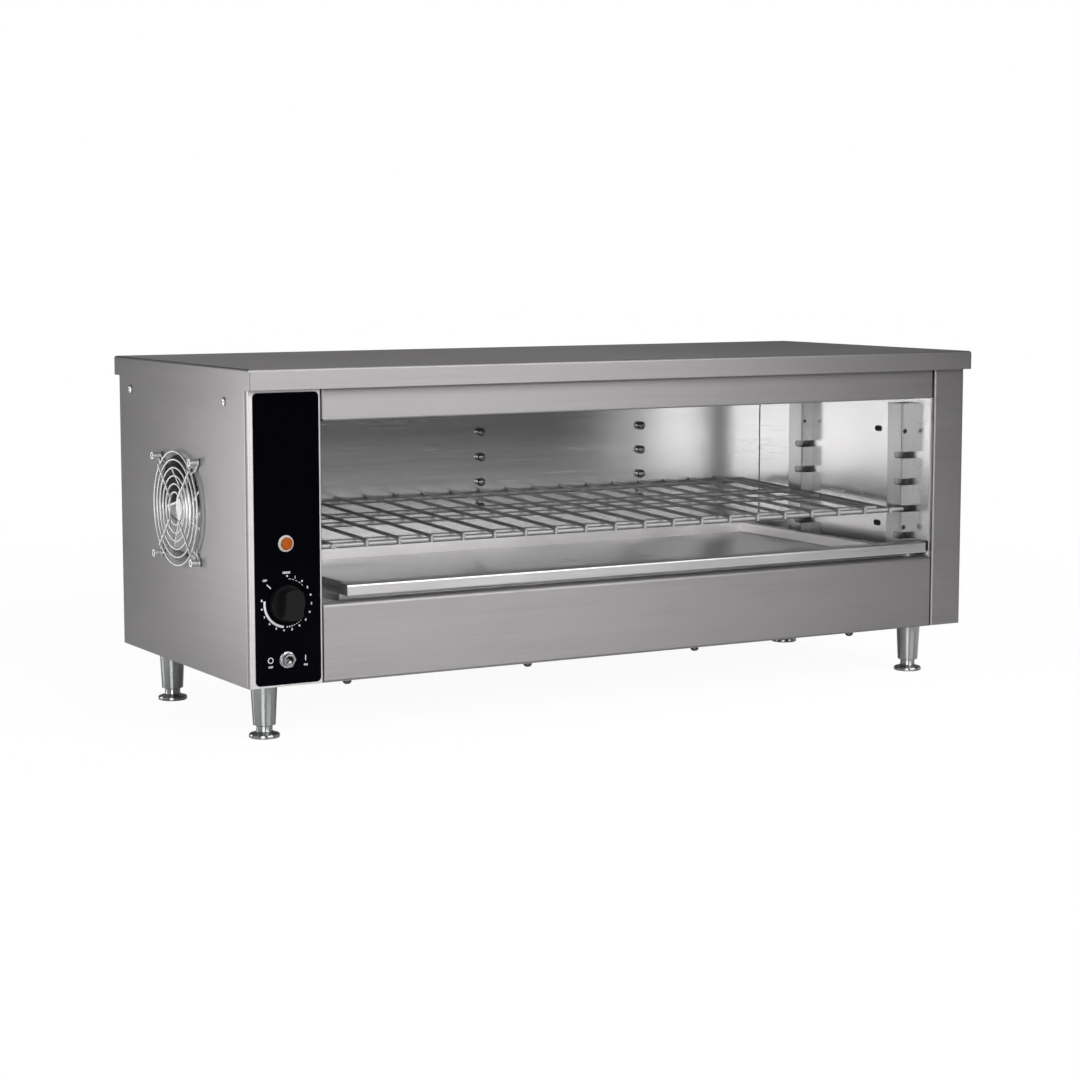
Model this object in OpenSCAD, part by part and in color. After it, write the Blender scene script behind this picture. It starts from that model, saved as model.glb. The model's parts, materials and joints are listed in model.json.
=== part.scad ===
// Countertop cheese melter: an open-front heated cavity with a wire rack, a crumb tray,
// overhead tubular heaters and a fan-cooled control column on the left.
// +X points right, +Y to the back, +Z up. The floor is at z = 0, under the middle of the whole.
// All sizes are in millimetres.

/* [Cabinet] */
// Width of the top cover
cover_w = 914.4; // [700:0.1:1200]
// Depth of the top cover
cover_d = 374.6; // [320:0.1:460]
// Height from the floor to the top of the cover
overall_h = 382.5; // [370:0.5:480]
// Height of the cabinet's underside above the floor
leg_h = 59.5; // [50:0.5:100]
// Depth of the cover's turned-down skirt
skirt_h = 21.1; // [14:0.1:26]
// How far the cover stands out past the cabinet's front and back
overhang = 10.2; // [4:0.1:20]
// Thickness of the stainless sheet
sheet = 0.9; // [0.7:0.1:1.2]
// Outer radius of the cover's edges
cover_r = 2.6; // [1.5:0.1:4]
// Outer radius of the cabinet's upright front corners
corner_r = 4.0; // [2:0.1:6]

/* [Front] */
// Width of the control column
control_w = 82.4; // [78:0.1:110]
// Width of the plain right-hand column
column_w = 44.1; // [30:0.1:70]
// Height of the header below the cover's skirt
header_h = 33.6; // [27:0.1:38]
// Height of the apron, which is also the height of the cavity floor
apron_h = 81.5; // [60:0.1:84]
// How far the header and apron are set back from the columns
recess = 2.0; // [1:0.1:4]
// Open seam between the control column and the header and apron
seam = 1.5; // [0.5:0.1:3]

/* [Rack] */
// Height of the lowest rack slot above the cavity floor
first_slot = 22.9; // [19:0.1:30]
// Spacing of the rack levels
level_pitch = 31.75; // [26:0.05:34]
// Number of rack levels
levels = 4; // [3:1:4]
// Level that holds the rack, counted from 0 at the bottom
rack_level = 1; // [1:1:2]
// How much higher a rack slot is than the rail it holds
slot_play = 2; // [0.6:0.1:4]
// Depth of a rack slot, from the front of the upright
slot_d = 14; // [10:0.1:18]
// Diameter of the rack's rails
rail_d = 6; // [5:0.1:6.5]
// Diameter of the rack's surface wires
wire_d = 3.8; // [3:0.1:5]
// Gap between the rack's side rails and the cavity's walls
rack_gap = 30.1; // [18:0.1:60]
// Number of front-to-back members, with the two side rails
wire_count = 20; // [10:2:30]
// Diameter of a rear rack peg
peg_d = 10.4; // [8:0.1:12]
// Spacing of the rows of pegs
peg_pitch = 30.2; // [26:0.1:34]
// Height of the feet under the rack's rear rail, which stand on a row of pegs
rack_foot = 7; // [2:0.1:9]

/* [Crumb tray] */
// Gap between the tray and the cavity's walls, before its shift to the right
tray_gap = 25; // [22.5:0.1:60]
// Gap between the tray and the back wall
tray_back_gap = 25.4; // [16:0.1:80]
// Height of the front lip's top above the cavity floor
lip_top = 18; // [14:0.1:24]
// Height of the lip's downturned face
lip_face = 12; // [8:0.1:16]
// Depth of the lip
lip_d = 20.5; // [12:0.1:24]
// Height of the pan's walls above the cavity floor
pan_h = 13.5; // [9:0.1:17]
// Width of the flat wing on each side of the pan
wing_w = 25; // [12:0.1:60]
// How far the lip runs past the right side of the tray
lip_past = 16; // [0:0.1:18]
// How far the tray sits to the right of the cavity's middle
tray_shift = 4; // [0:0.1:6]

/* [Controls] */
// Distance of the knob's axis from the left edge of the cabinet
knob_x = 41.8; // [38:0.1:46]
// Height of the knob's axis above the cabinet's underside
knob_z = 86; // [80:0.1:100]
// Diameter of the knob's skirt
knob_d = 38; // [30:0.1:42]
// Diameter of the control shaft
shaft_d = 6; // [5:0.1:8]
// Radial running clearance of every shaft and pin
run_gap = 0.06; // [0.03:0.01:0.1]
// Height of the pilot lamp above the cabinet's underside
lamp_z = 146.6; // [140:0.1:160]
// Diameter of the pilot lamp's bezel
bezel_d = 17; // [14:0.1:22]
// Diameter of the pilot lamp's lens
lens_d = 13.2; // [12.4:0.1:13.4]
// Height of the toggle switch above the cabinet's underside
switch_z = 28.2; // [24:0.1:34]
// Tilt of the toggle lever to either side of straight out
toggle_tilt = 14; // [8:1:18]

/* [Fan] */
// Size of the square fan frame
fan_size = 119.5; // [92:0.1:120]
// Distance of the fan's screw holes from the edges of its frame
fan_edge = 7.25; // [4:0.05:8]
// Thickness of the fan frame
fan_t = 25; // [20:0.1:32]
// Distance of the fan's centre behind the cabinet's front
fan_y = 178; // [150:0.5:210]
// Height of the fan's centre above the cabinet's underside
fan_z = 168.5; // [150:0.1:190]
// Thickness of the fan frame's wall at its thinnest
duct_wall = 2.75; // [2:0.05:4]
// Number of fan blades
blades = 7; // [5:1:9]
// Diameter of the guard's wire
guard_wire = 2.0; // [1.6:0.1:2.6]
// Distance between the guard's rings
ring_pitch = 8.6; // [7:0.1:10]
// Height of the guard's rings above the side panel
guard_stand = 5.2; // [4:0.1:8]
// Diameter of the barrel nuts that clamp the guard
barrel_d = 8; // [7:0.1:9]
// Length of the barrel nuts
barrel_len = 8; // [6:0.1:14]

/* [Legs] */
// Distance of the leg centres from the cabinet's sides
leg_in_x = 37.8; // [30:0.1:120]
// Distance of the leg centres from the cabinet's front and back
leg_in_y = 50.1; // [30:0.1:80]
// Diameter of a leg at its top
leg_top_d = 28; // [24:0.1:34]
// Diameter of a leg at the lower end of its taper
leg_low_d = 23.5; // [20:0.1:28]
// Length of the tapered sleeve
sleeve_h = 46; // [36:0.5:50]
// Diameter of the foot's neck
neck_d = 17; // [13:0.1:19]
// Diameter of the foot's base
foot_d = 32; // [26:0.1:40]
// Diameter of the foot's threaded stem
stem_d = 10; // [8:0.1:12]

/* [Hidden] */
$fn = 48;
bend_steps = 6;
half_t = sheet / 2;
// Radius of a bend at the middle of its sheet, where the bend is a tight one
tight_r = 1.6;
touch = 0.3;

cab_h = overall_h - leg_h;
skirt_z = cab_h - skirt_h;
header_z = skirt_z - header_h;
under_cover = cab_h - sheet;
body_w = cover_w - 2 * (sheet + 0.1);
body_d = cover_d - 2 * overhang;
left = -body_w / 2;
right = body_w / 2;
front = -body_d / 2;
back = body_d / 2;
front_in = front + sheet;
left_in = left + sheet;
right_in = right - sheet;
return_w = 20;
rear_flange = 15;
rear_inset = 2.8;
foot_flange = 15;

// The cavity lies between the two inner walls, which lap the columns' returns.
cav_l = left + control_w + sheet;
cav_r = right - column_w - sheet;
face_y = front + recess;
rear_y = back - 2 * sheet;
wall_front = front + 6;
wall_back = back - 3;
wall_low = 50;
flange_z = cab_h - 29;
lip_drop = 14;
upright_top = header_z - 7.7;
hook_hole_z = [apron_h + 31.5, upright_top - 33.6];
rivet_z = apron_h + 64.5;
rivet_y = [front + 135.3, front + 172.1, front + 197.7];
floor_front = face_y + return_w + touch;
reflector_z = flange_z + half_t;
reflector_front = floor_front + 1;
insulation_t = 23;

// Rack
upright_depth = 16;
upright_w = 28.5;
upright_t = 1.2;
upright_y = [front + 38, front + 238];
slot_z0 = apron_h + first_slot;
slot_h = rail_d + slot_play;
rail_z = slot_z0 + rack_level * level_pitch - slot_h / 2 + rail_d / 2 + touch;
weld = 0.5;
rack_front = upright_y[0] + 5.5;
rack_depth = rear_y - 6 - rack_front;
rack_rails = [0.072, 0.453, 0.649, 1];
peg_z0 = slot_z0 + 26.8;
foot_z = peg_z0 + (rack_level - 1) * peg_pitch + peg_d / 2 + touch;
rack_tilt = asin((foot_z + rack_foot + rail_d / 2 - rail_z) / rack_depth);
peg_cols = [for (k = [-1, 0, 1]) k * body_w / 4];
peg_len = 8;
peg_shank = 5;
side_rail_d = rail_d + 0.5;
rack_l = cav_l + rack_gap;
rack_r = cav_r - rack_gap;
rail_reach = upright_depth - 6;

// Tray
tray_z = apron_h + touch;
tray_l = cav_l + tray_gap + tray_shift;
tray_r = cav_r - tray_gap + tray_shift;
lip_r = tray_r + lip_past;
lip_mid = (tray_r + lip_r) / 2;
tray_front = front + 4.5 + lip_d;
tray_back = rear_y - tray_back_gap;
wing_h = 5;

// Heaters
heater_d = 8;
heater_z = flange_z - 15;
heater_y = [-100, 0, 100];
heater_half = 25;
heater_start = cav_l - 30;
heater_turn = cav_r - 38;
bracket_x = [-120, 160];

// Controls
panel_x = left + knob_x;
overlay_t = 0.5;
overlay_face = front - overlay_t;
overlay_lo = [left + 7.3, 3];
overlay_hi = [left + 79.5, skirt_z - 3];
overlay_r = 5;
knob_h = 20;
knob_gap = 0.6;
shaft_out = 16;
bush_d = 9.5;
switch_bush = 11.8;
switch_pivot = front + 2;
switch_mouth = front - 6.5;
lever_len = 20;
contactor_x = cav_l - sheet;
contactor_y = [98, 112, 128, 142];
contactor_z = [56, 114];
terminal_y = [58, 74, 90];
terminal_x = left + 32;
limit_y = -60;
limit_z = heater_z - 39;

// Fan
fan_c = [left, front + fan_y, fan_z];
fan_pitch = fan_size - 2 * fan_edge;
duct_d = fan_size - 2 * duct_wall;
fan_in = left_in + fan_t;
hub_d = 44;
rotor_d = duct_d - 4;
rotor_h = 16;
blade_t = 1.6;
blade_pitch = 48;
spindle_d = 6;
fan_hole = 4.4;
guard_rings = [for (i = [5 : -1 : 0]) duct_d / 2 + 3.5 - i * ring_pitch];
loop_r = 3.4;
loop_x = left - guard_wire / 2 - 0.35;
barrel_seat = loop_x - guard_wire / 2 - 0.05;
barrel_end = barrel_seat - barrel_len;
barrel_mouth = 2;

// Legs: front left, front right, rear left, rear right
leg_places = [
    [left + leg_in_x, front + leg_in_y], [right - leg_in_x, front + leg_in_y],
    [left + leg_in_x, back - leg_in_y], [right - leg_in_x, back - leg_in_y]
];

// Power inlet and the screws
inlet_x = left + 43;
inlet_z = 44;
inlet_d = 22;
side_screw_y = [front + 54.5, front + 318.5];
side_screw_z = flange_z - 6;
screw_d = 4;
under_screw_x = [for (i = [0 : 3]) left + body_w * (0.1264 + 0.2354 * i)];
under_screw_y = front + 14;
rear_screw_x = right - 9;
rear_screw_z = [for (i = [0 : 3]) 40 + i * (skirt_z - 62) / 3];

// How far the whole reaches to the left over the barrel nuts and to the front over the knob,
// and the shift that puts its middle over the origin
reach_left = -barrel_end;
reach_front = knob_h + knob_gap - overlay_face;
centre_x = (reach_left - cover_w / 2) / 2;
centre_y = (reach_front - cover_d / 2) / 2;

steel = [0.66, 0.66, 0.67];
bright = [0.78, 0.78, 0.80];
black = [0.03, 0.03, 0.035];

// ---------------------------------------------------------------- helpers

function unit(v) = v / norm(v);
function left_of(d) = [-d[1], d[0]];
function flip(list) = [for (i = [len(list) - 1 : -1 : 0]) list[i]];

// One side of a bent sheet: path p along its middle, a bend radius for each corner,
// thickness t, and s = 1 for the side on the left of the path or -1 for the right.
function sheet_side(p, r, t, s) = [
    for (i = [0 : len(p) - 1])
        let (last = len(p) - 1)
        let (a = unit(i == 0 ? p[1] - p[0] : p[i] - p[i - 1]))
        let (b = i == last ? a : unit(p[i + 1] - p[i]))
        let (turn = sign(a[0] * b[1] - a[1] * b[0]))
        let (q = r[i] - turn * s * t / 2)
        each (i == 0 || i == last)
            ? [p[i] + s * t / 2 * left_of(a)]
            : [for (j = [0 : bend_steps])
                let (g = 90 * j / bend_steps)
                p[i] + r[i] * (b - a) + q * (a * sin(g) - b * cos(g))]
];

// Section of a sheet that is bent square at each corner of path p.
module bent_sheet(p, r, t = sheet) {
    polygon(concat(sheet_side(p, r, t, 1), flip(sheet_side(p, r, t, -1))));
}

// Puts the middle of the whole over the origin, with the feet on the floor.
module stand() {
    translate([centre_x, centre_y, 0]) children();
}

// Raises the cabinet's own frame, whose z = 0 is its underside, onto its legs.
module lift() {
    stand() translate([0, 0, leg_h]) children();
}

module block(lo, hi) {
    translate(lo) cube(hi - lo);
}

// Extrude a YZ section along X, or an XZ section along Y.
module along_x(x0, x1) {
    translate([x0, 0, 0]) rotate([90, 0, 90]) linear_extrude(x1 - x0) children();
}

module along_y(y0, y1) {
    translate([0, y1, 0]) rotate([90, 0, 0]) linear_extrude(y1 - y0) children();
}

// Cylinders that start at p and run along +X, +Y or +Z.
module rod_x(p, len, d, d2 = -1) {
    translate(p) rotate([0, 90, 0]) cylinder(h = len, d1 = d, d2 = d2 < 0 ? d : d2);
}

module rod_y(p, len, d, d2 = -1) {
    translate(p) rotate([-90, 0, 0]) cylinder(h = len, d1 = d, d2 = d2 < 0 ? d : d2);
}

module rod_z(p, len, d, d2 = -1) {
    translate(p) cylinder(h = len, d1 = d, d2 = d2 < 0 ? d : d2);
}

// Flat outline with rounded corners, from lo to hi.
module round_plate(lo, hi, r) {
    translate([lo[0] + r, lo[1]]) square([hi[0] - lo[0] - 2 * r, hi[1] - lo[1]]);
    translate([lo[0], lo[1] + r]) square([hi[0] - lo[0], hi[1] - lo[1] - 2 * r]);
    for (x = [lo[0] + r, hi[0] - r], y = [lo[1] + r, hi[1] - r])
        translate([x, y]) circle(r);
}

// Straight run of wire between two points.
module wire_run(a, b, d) {
    v = b - a;
    translate(a)
        rotate([0, acos(v[2] / norm(v)), atan2(v[1], v[0])])
            cylinder(h = norm(v), d = d, $fn = 16);
}

// Wire through a list of points, with a slightly fuller ball at each bend.
module wire_path(points, d) {
    for (i = [1 : len(points) - 1]) wire_run(points[i - 1], points[i], d);
    for (i = [1 : 1 : len(points) - 2]) translate(points[i]) sphere(d = d + 0.6, $fn = 16);
}

// Pan-head screw along +X, +Y or +Z: its head stands outside the point where it enters.
module screw(len, d, head_d, head_h) {
    translate([0, 0, -head_h]) cylinder(h = head_h * 0.55, d1 = head_d * 0.72, d2 = head_d);
    translate([0, 0, -head_h * 0.45]) cylinder(h = head_h * 0.45, d = head_d);
    cylinder(h = len, d = d);
}

// ---------------------------------------------------------------- casing

// Outside of the cover, shrunk by in on its sides and top.
module cover_section(w, in, low) {
    r = cover_r - in;
    half = w / 2 - in;
    translate([-half, skirt_z - low]) square([2 * half, skirt_h - in - r + low]);
    translate([-half + r, skirt_z - low]) square([2 * (half - r), skirt_h - in + low]);
    for (s = [-1, 1]) translate([s * (half - r), cab_h - in - r]) circle(r);
}

module cover_block(in, low) {
    intersection() {
        along_x(-cover_w / 2, cover_w / 2) cover_section(cover_d, in, low);
        along_y(-cover_d / 2, cover_d / 2) cover_section(cover_w, in, low);
    }
}

module top_cover() {
    hem = overhang - 0.1;
    color(steel) lift() {
        difference() {
            cover_block(0, 0);
            cover_block(sheet, 1);
        }
        for (s = [0, 1]) mirror([0, s, 0])
            block([-cover_w / 2 + half_t, -cover_d / 2 + half_t, skirt_z],
                  [cover_w / 2 - half_t, -cover_d / 2 + hem, skirt_z + sheet]);
    }
}

// One side of the cabinet with its column on the front, drawn for the left-hand side.
module side_shell(col_w) {
    col_x = left + col_w - half_t;
    side_x = left + half_t;
    fy = front + half_t;
    by = back - half_t;
    turn = corner_r - half_t;
    translate([0, 0, sheet])
        linear_extrude(under_cover - cover_r - sheet)
            bent_sheet(
                [[col_x, fy + return_w], [col_x, fy], [side_x, fy],
                 [side_x, by], [side_x + rear_flange, by]],
                [0, tight_r, turn, 2.2, 0]);
    block([side_x, fy + turn + 1, sheet], [side_x + foot_flange, by - 4, 2 * sheet]);
    block([side_x + turn + 1, fy, sheet], [col_x - 3, fy + foot_flange, 2 * sheet]);
}

module left_side_panel() {
    color(steel) lift() difference() {
        side_shell(control_w);
        rod_x(fan_c - [1, 0, 0], sheet + 2, duct_d);
        for (p = fan_corners()) rod_x([left - 1, p[0], p[1]], sheet + 2, fan_hole);
        for (y = side_screw_y) rod_x([left - 1, y, side_screw_z], sheet + 2, screw_d + 0.3);
        rod_y([panel_x, front - 1, knob_z], sheet + 2, bush_d + 0.3);
        rod_y([panel_x, front - 1, switch_z], sheet + 2, switch_bush + 0.3);
        rod_y([panel_x, front - 1, lamp_z], sheet + 2, bezel_d - 4);
        rear_screw_holes(-1);
    }
}

module right_side_panel() {
    color(steel) lift() difference() {
        mirror([1, 0, 0]) side_shell(column_w);
        for (y = side_screw_y)
            rod_x([right - sheet - 1, y, side_screw_z], sheet + 2, screw_d + 0.3);
        rear_screw_holes(1);
    }
}

module rear_screw_holes(s) {
    for (z = rear_screw_z) rod_y([s * rear_screw_x, rear_y - 1, z], 2 * sheet + 2, screw_d + 0.3);
}

module rear_panel() {
    color(steel) lift() difference() {
        block([left + rear_inset, rear_y, sheet], [right - rear_inset, rear_y + sheet, under_cover]);
        for (x = peg_cols, i = [0 : levels - 1])
            rod_y([x, rear_y - 1, peg_z0 + i * peg_pitch], sheet + 2, peg_shank + 0.2);
        rod_y([inlet_x, rear_y - 1, inlet_z], sheet + 2, inlet_d + 0.2);
        for (s = [-1, 1]) rear_screw_holes(s);
        for (i = [0 : 7])
            block([left + 20, rear_y - 1, 120 + 14 * i], [left + 66, back, 125 + 14 * i]);
    }
}

module bottom_panel() {
    edge = 2.4;
    color(steel) lift() difference() {
        block([left + edge, face_y + edge, 0], [right - edge, back - edge, sheet]);
        for (p = leg_places) rod_z([p[0], p[1], -1], sheet + 2, stem_d + 0.4);
        for (x = under_screw_x, y = [under_screw_y, -under_screw_y])
            rod_z([x, y, -1], sheet + 2, screw_d + 0.3);
        for (i = [0 : 6])
            block([left + 24, -62 + 14 * i, -1], [left + 62, -57 + 14 * i, sheet + 1]);
    }
}

module front_header() {
    x0 = left + control_w + seam;
    x1 = cav_r;
    fy = face_y + half_t;
    bend = tight_r + half_t;
    color(steel) lift() {
        translate([0, 0, header_z + bend])
            linear_extrude(under_cover - header_z - bend)
                bent_sheet(
                    [[x0 + half_t, fy + return_w], [x0 + half_t, fy],
                     [x1 - half_t, fy], [x1 - half_t, fy + return_w]],
                    [0, tight_r, tight_r, 0]);
        along_x(x0 + bend, x1 - bend)
            bent_sheet(
                [[fy, header_z + 12], [fy, header_z + half_t], [fy + 26, header_z + half_t]],
                [0, tight_r, 0]);
    }
}

module front_apron() {
    fy = face_y + half_t;
    color(steel) lift() difference() {
        along_x(left + control_w + seam, cav_r)
            bent_sheet(
                [[fy + return_w - half_t, sheet + half_t], [fy, sheet + half_t],
                 [fy, apron_h - half_t], [fy + return_w - half_t, apron_h - half_t]],
                [0, tight_r, 3, 0]);
        for (x = under_screw_x) rod_z([x, under_screw_y, 0], 3, screw_d + 0.3);
    }
}

// Black control label, stuck to the column's face.
module panel_overlay() {
    color(black) lift() difference() {
        along_y(front - overlay_t, front) round_plate(overlay_lo, overlay_hi, overlay_r);
        rod_y([panel_x, front - 1, knob_z], 2, bush_d + 0.3);
        rod_y([panel_x, front - 1, switch_z], 2, switch_bush + 0.3);
        rod_y([panel_x, front - 1, lamp_z], 2, bezel_d - 4);
    }
}

// ---------------------------------------------------------------- cavity

// Inner wall with a top flange that runs out to the side panel and turns down there.
// It is drawn for the left-hand side.
module cavity_wall(x, side) {
    block([x - sheet, wall_front, wall_low], [x, floor_front + 1, flange_z - tight_r - 1]);
    along_y(floor_front, wall_back)
        bent_sheet(
            [[x - half_t, wall_low], [x - half_t, flange_z],
             [side + half_t, flange_z], [side + half_t, flange_z - lip_drop]],
            [0, tight_r, tight_r, 0]);
}

// Oval keyhole for a hooked accessory, at height z
module oval_hole(x, z) {
    along_x(x - 3, x + 3) translate([front + 104, z]) {
        square([4, 5], center = true);
        for (s = [-1, 1]) translate([2 * s, 0]) circle(d = 5);
    }
}

module cavity_left_wall() {
    color(bright) lift() difference() {
        cavity_wall(cav_l, left_in);
        for (y = heater_y, s = [-1, 1])
            rod_x([cav_l - 3, y + s * heater_half, heater_z], 6, heater_d + 0.6);
        for (z = hook_hole_z) oval_hole(cav_l, z);
        for (y = side_screw_y) rod_x([left, y, side_screw_z], 4, screw_d + 0.2);
    }
}

module cavity_right_wall() {
    color(bright) lift() difference() {
        mirror([1, 0, 0]) cavity_wall(-cav_r, left_in);
        for (z = hook_hole_z) oval_hole(cav_r, z);
        for (y = rivet_y) rod_x([cav_r - 1, y, rivet_z], 3, 2.6);
        for (y = side_screw_y) rod_x([right - 4, y, side_screw_z], 4, screw_d + 0.2);
    }
}

module wall_rivets() {
    color(bright) lift()
        for (y = rivet_y) {
            rod_x([cav_r - 0.9, y, rivet_z], 0.9, 3, 4.4);
            rod_x([cav_r - 0.1, y, rivet_z], 2.6, 2.4);
        }
}

module cavity_floor() {
    color(bright) lift() {
        along_y(floor_front, wall_back)
            bent_sheet(
                [[cav_l + half_t, apron_h - 14], [cav_l + half_t, apron_h - half_t],
                 [cav_r - half_t, apron_h - half_t], [cav_r - half_t, apron_h - 14]],
                [0, tight_r, tight_r, 0]);
    }
}

module reflector() {
    color(bright) lift()
        block([left + 14, reflector_front, reflector_z],
              [right - 14, rear_y - 2, reflector_z + sheet]);
}

module top_insulation() {
    color([0.85, 0.82, 0.72]) lift()
        block([left + 16, reflector_front + 2, reflector_z + sheet],
              [right - 16, rear_y - 4, reflector_z + sheet + insulation_t]);
}

module side_insulation() {
    color([0.85, 0.82, 0.72]) lift()
        block([cav_r + sheet + 3, front + 24, 12],
              [right_in - touch, rear_y - 10, flange_z - lip_drop - 4]);
}

// Three hairpin heaters that run along the cavity, under the reflector.
module heating_elements() {
    turn_x = heater_turn;
    color([0.35, 0.33, 0.32]) lift()
        for (y = heater_y) {
            for (s = [-1, 1])
                rod_x([heater_start, y + s * heater_half, heater_z], turn_x - heater_start, heater_d);
            translate([turn_x, y, heater_z])
                rotate([0, 0, -90])
                    rotate_extrude(angle = 180)
                        translate([heater_half, 0]) circle(d = heater_d);
        }
}

// A porcelain collar and a screw terminal on the cold end of each heater.
module element_terminals() {
    color([0.9, 0.9, 0.86]) lift()
        for (y = heater_y, s = [-1, 1]) {
            rod_x([heater_start - 8, y + s * heater_half, heater_z], 8, heater_d + 4);
            rod_x([heater_start - 20, y + s * heater_half, heater_z], 12.1, 4);
        }
}

// Hangers that hold the heaters off the reflector.
module element_brackets() {
    y0 = heater_y[0] - heater_half - 12;
    y1 = heater_y[2] + heater_half + 12;
    color(bright) lift()
        for (x = bracket_x) difference() {
            union() {
                block([x, y0, heater_z - 8], [x + 1.2, y1, reflector_z]);
                block([x, y0, reflector_z - 1.2], [x + 14, y1, reflector_z]);
            }
            for (y = heater_y, s = [-1, 1])
                rod_x([x - 1, y + s * heater_half, heater_z], 4, heater_d + 0.2);
        }
}

// Slotted channel that carries the rack, drawn for the right-hand wall.
module upright(y, wall) {
    x0 = wall - upright_depth;
    t = upright_t / 2;
    difference() {
        translate([0, 0, apron_h])
            linear_extrude(upright_top - apron_h)
                bent_sheet(
                    [[wall, y + t], [x0 + t, y + t], [x0 + t, y + upright_w - t], [wall, y + upright_w - t]],
                    [0, 1.2, 1.2, 0], upright_t);
        for (i = [0 : levels - 1]) {
            z = slot_z0 + i * level_pitch;
            block([x0 - 1, y - 1, z - slot_h / 2],
                  [wall + 1, y + slot_d - slot_h / 2, z + slot_h / 2]);
            rod_x([x0 - 1, y + slot_d - slot_h / 2, z], 3, slot_h);
        }
        for (z = hook_hole_z) rod_y([x0 + 4.2, y - 1, z + 1], 3, 4);
    }
}

module front_right_upright() {
    color(bright) lift() upright(upright_y[0], cav_r);
}

module rear_right_upright() {
    color(bright) lift() upright(upright_y[1], cav_r);
}

module front_left_upright() {
    color(bright) lift() mirror([1, 0, 0]) upright(upright_y[0], -cav_l);
}

module rear_left_upright() {
    color(bright) lift() mirror([1, 0, 0]) upright(upright_y[1], -cav_l);
}

// Shouldered studs on the back wall: the rack's rear feet stand on one row of them.
module rack_pegs() {
    color(bright) lift()
        for (x = peg_cols, i = [0 : levels - 1])
            translate([x, rear_y, peg_z0 + i * peg_pitch])
                rotate([90, 0, 0]) {
                    cylinder(h = peg_len - 2, d = peg_d);
                    translate([0, 0, peg_len - 2]) cylinder(h = 2, d1 = peg_d, d2 = peg_d - 4);
                    translate([0, 0, -sheet]) cylinder(h = sheet + 0.1, d = peg_shank);
                    translate([0, 0, -sheet - 1.6]) cylinder(h = 1.6, d = peg_shank + 3);
                }
}

// ---------------------------------------------------------------- rack and tray

// The rack leans forward: its front rail lies in the uprights' slots, and feet under its
// rear rail stand on a row of pegs. It is drawn along its front rail's axis and then tilted.
module wire_rack() {
    pitch = (rack_r - rack_l) / (wire_count - 1);
    rear_y = rack_front + rack_depth * cos(rack_tilt);
    rear_end = rack_depth + 2;
    wire_z = (rail_d + wire_d) / 2 - weld;
    hook_r = wire_d / 2 + 0.5;
    hook_y = weld - (rail_d + wire_d) / 2;
    color(bright) lift() {
        for (x = peg_cols) rod_z([x, rear_y, foot_z], rack_foot + rail_d / 2, 4);
        translate([0, rack_front, rail_z]) rotate([rack_tilt, 0, 0]) {
            rod_x([cav_l + rail_reach, 0, 0], cav_r - cav_l - 2 * rail_reach, rail_d);
            for (f = rack_rails) rod_x([rack_l, f * rack_depth, 0], rack_r - rack_l, rail_d);
            for (x = [rack_l, rack_r]) rod_y([x, -5, 0], rack_depth + 10, side_rail_d);
            for (i = [1 : wire_count - 2]) {
                x = rack_l + i * pitch;
                rod_y([x, hook_y + hook_r, wire_z], rear_end - hook_y - hook_r, wire_d);
                translate([x, hook_y + hook_r, wire_z - hook_r])
                    rotate([90, 0, -90])
                        rotate_extrude(angle = 90) translate([hook_r, 0]) circle(d = wire_d);
                rod_z([x, hook_y, -2.2], wire_z - hook_r + 2.2, wire_d);
            }
        }
    }
}

module crumb_tray() {
    pan_l = tray_l + wing_w;
    pan_r = tray_r - wing_w;
    wall_x = [pan_l - half_t, pan_r + half_t];
    top = apron_h + lip_top;
    rim = apron_h + pan_h;
    fy = tray_front;
    color(steel) lift() {
        along_y(fy, tray_back) {
            bent_sheet(
                [[wall_x[0] - 6, rim], [wall_x[0], rim], [wall_x[0], tray_z + half_t],
                 [wall_x[1], tray_z + half_t], [wall_x[1], rim], [wall_x[1] + 6, rim]],
                [0, 1.2, tight_r, tight_r, 1.2, 0]);
            bent_sheet(
                [[tray_l + half_t, tray_z], [tray_l + half_t, tray_z + wing_h],
                 [wall_x[0], tray_z + wing_h]],
                [0, tight_r, 0]);
            bent_sheet(
                [[tray_r - half_t, tray_z], [tray_r - half_t, tray_z + wing_h],
                 [wall_x[1], tray_z + wing_h]],
                [0, tight_r, 0]);
        }
        // The front wall folds forward over the top and down again, and makes the hand lip.
        difference() {
            along_x(tray_l, lip_r) bent_sheet(
                [[fy + half_t, tray_z], [fy + half_t, top - half_t],
                 [fy - lip_d + half_t, top - half_t], [fy - lip_d + half_t, top - lip_face],
                 [fy - lip_d + 5, top - lip_face]],
                [0, 1.4, 2.0, 1.2, 0]);
            // Notch under the long end of the lip
            block([lip_mid, fy - 1, tray_z - 1], [lip_r + 1, fy + 2, top - lip_face]);
        }
        for (x = [tray_l, lip_r - sheet])
            block([x, fy - lip_d + 2, top - lip_face], [x + sheet, fy + half_t, top - half_t]);
        block([pan_l - half_t, tray_back - sheet, tray_z], [pan_r + half_t, tray_back, rim]);
    }
}

// ---------------------------------------------------------------- cooling fan

function fan_corners() = [
    for (a = [-1, 1], b = [-1, 1])
        [fan_c[1] + a * fan_pitch / 2, fan_c[2] + b * fan_pitch / 2]
];

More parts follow.
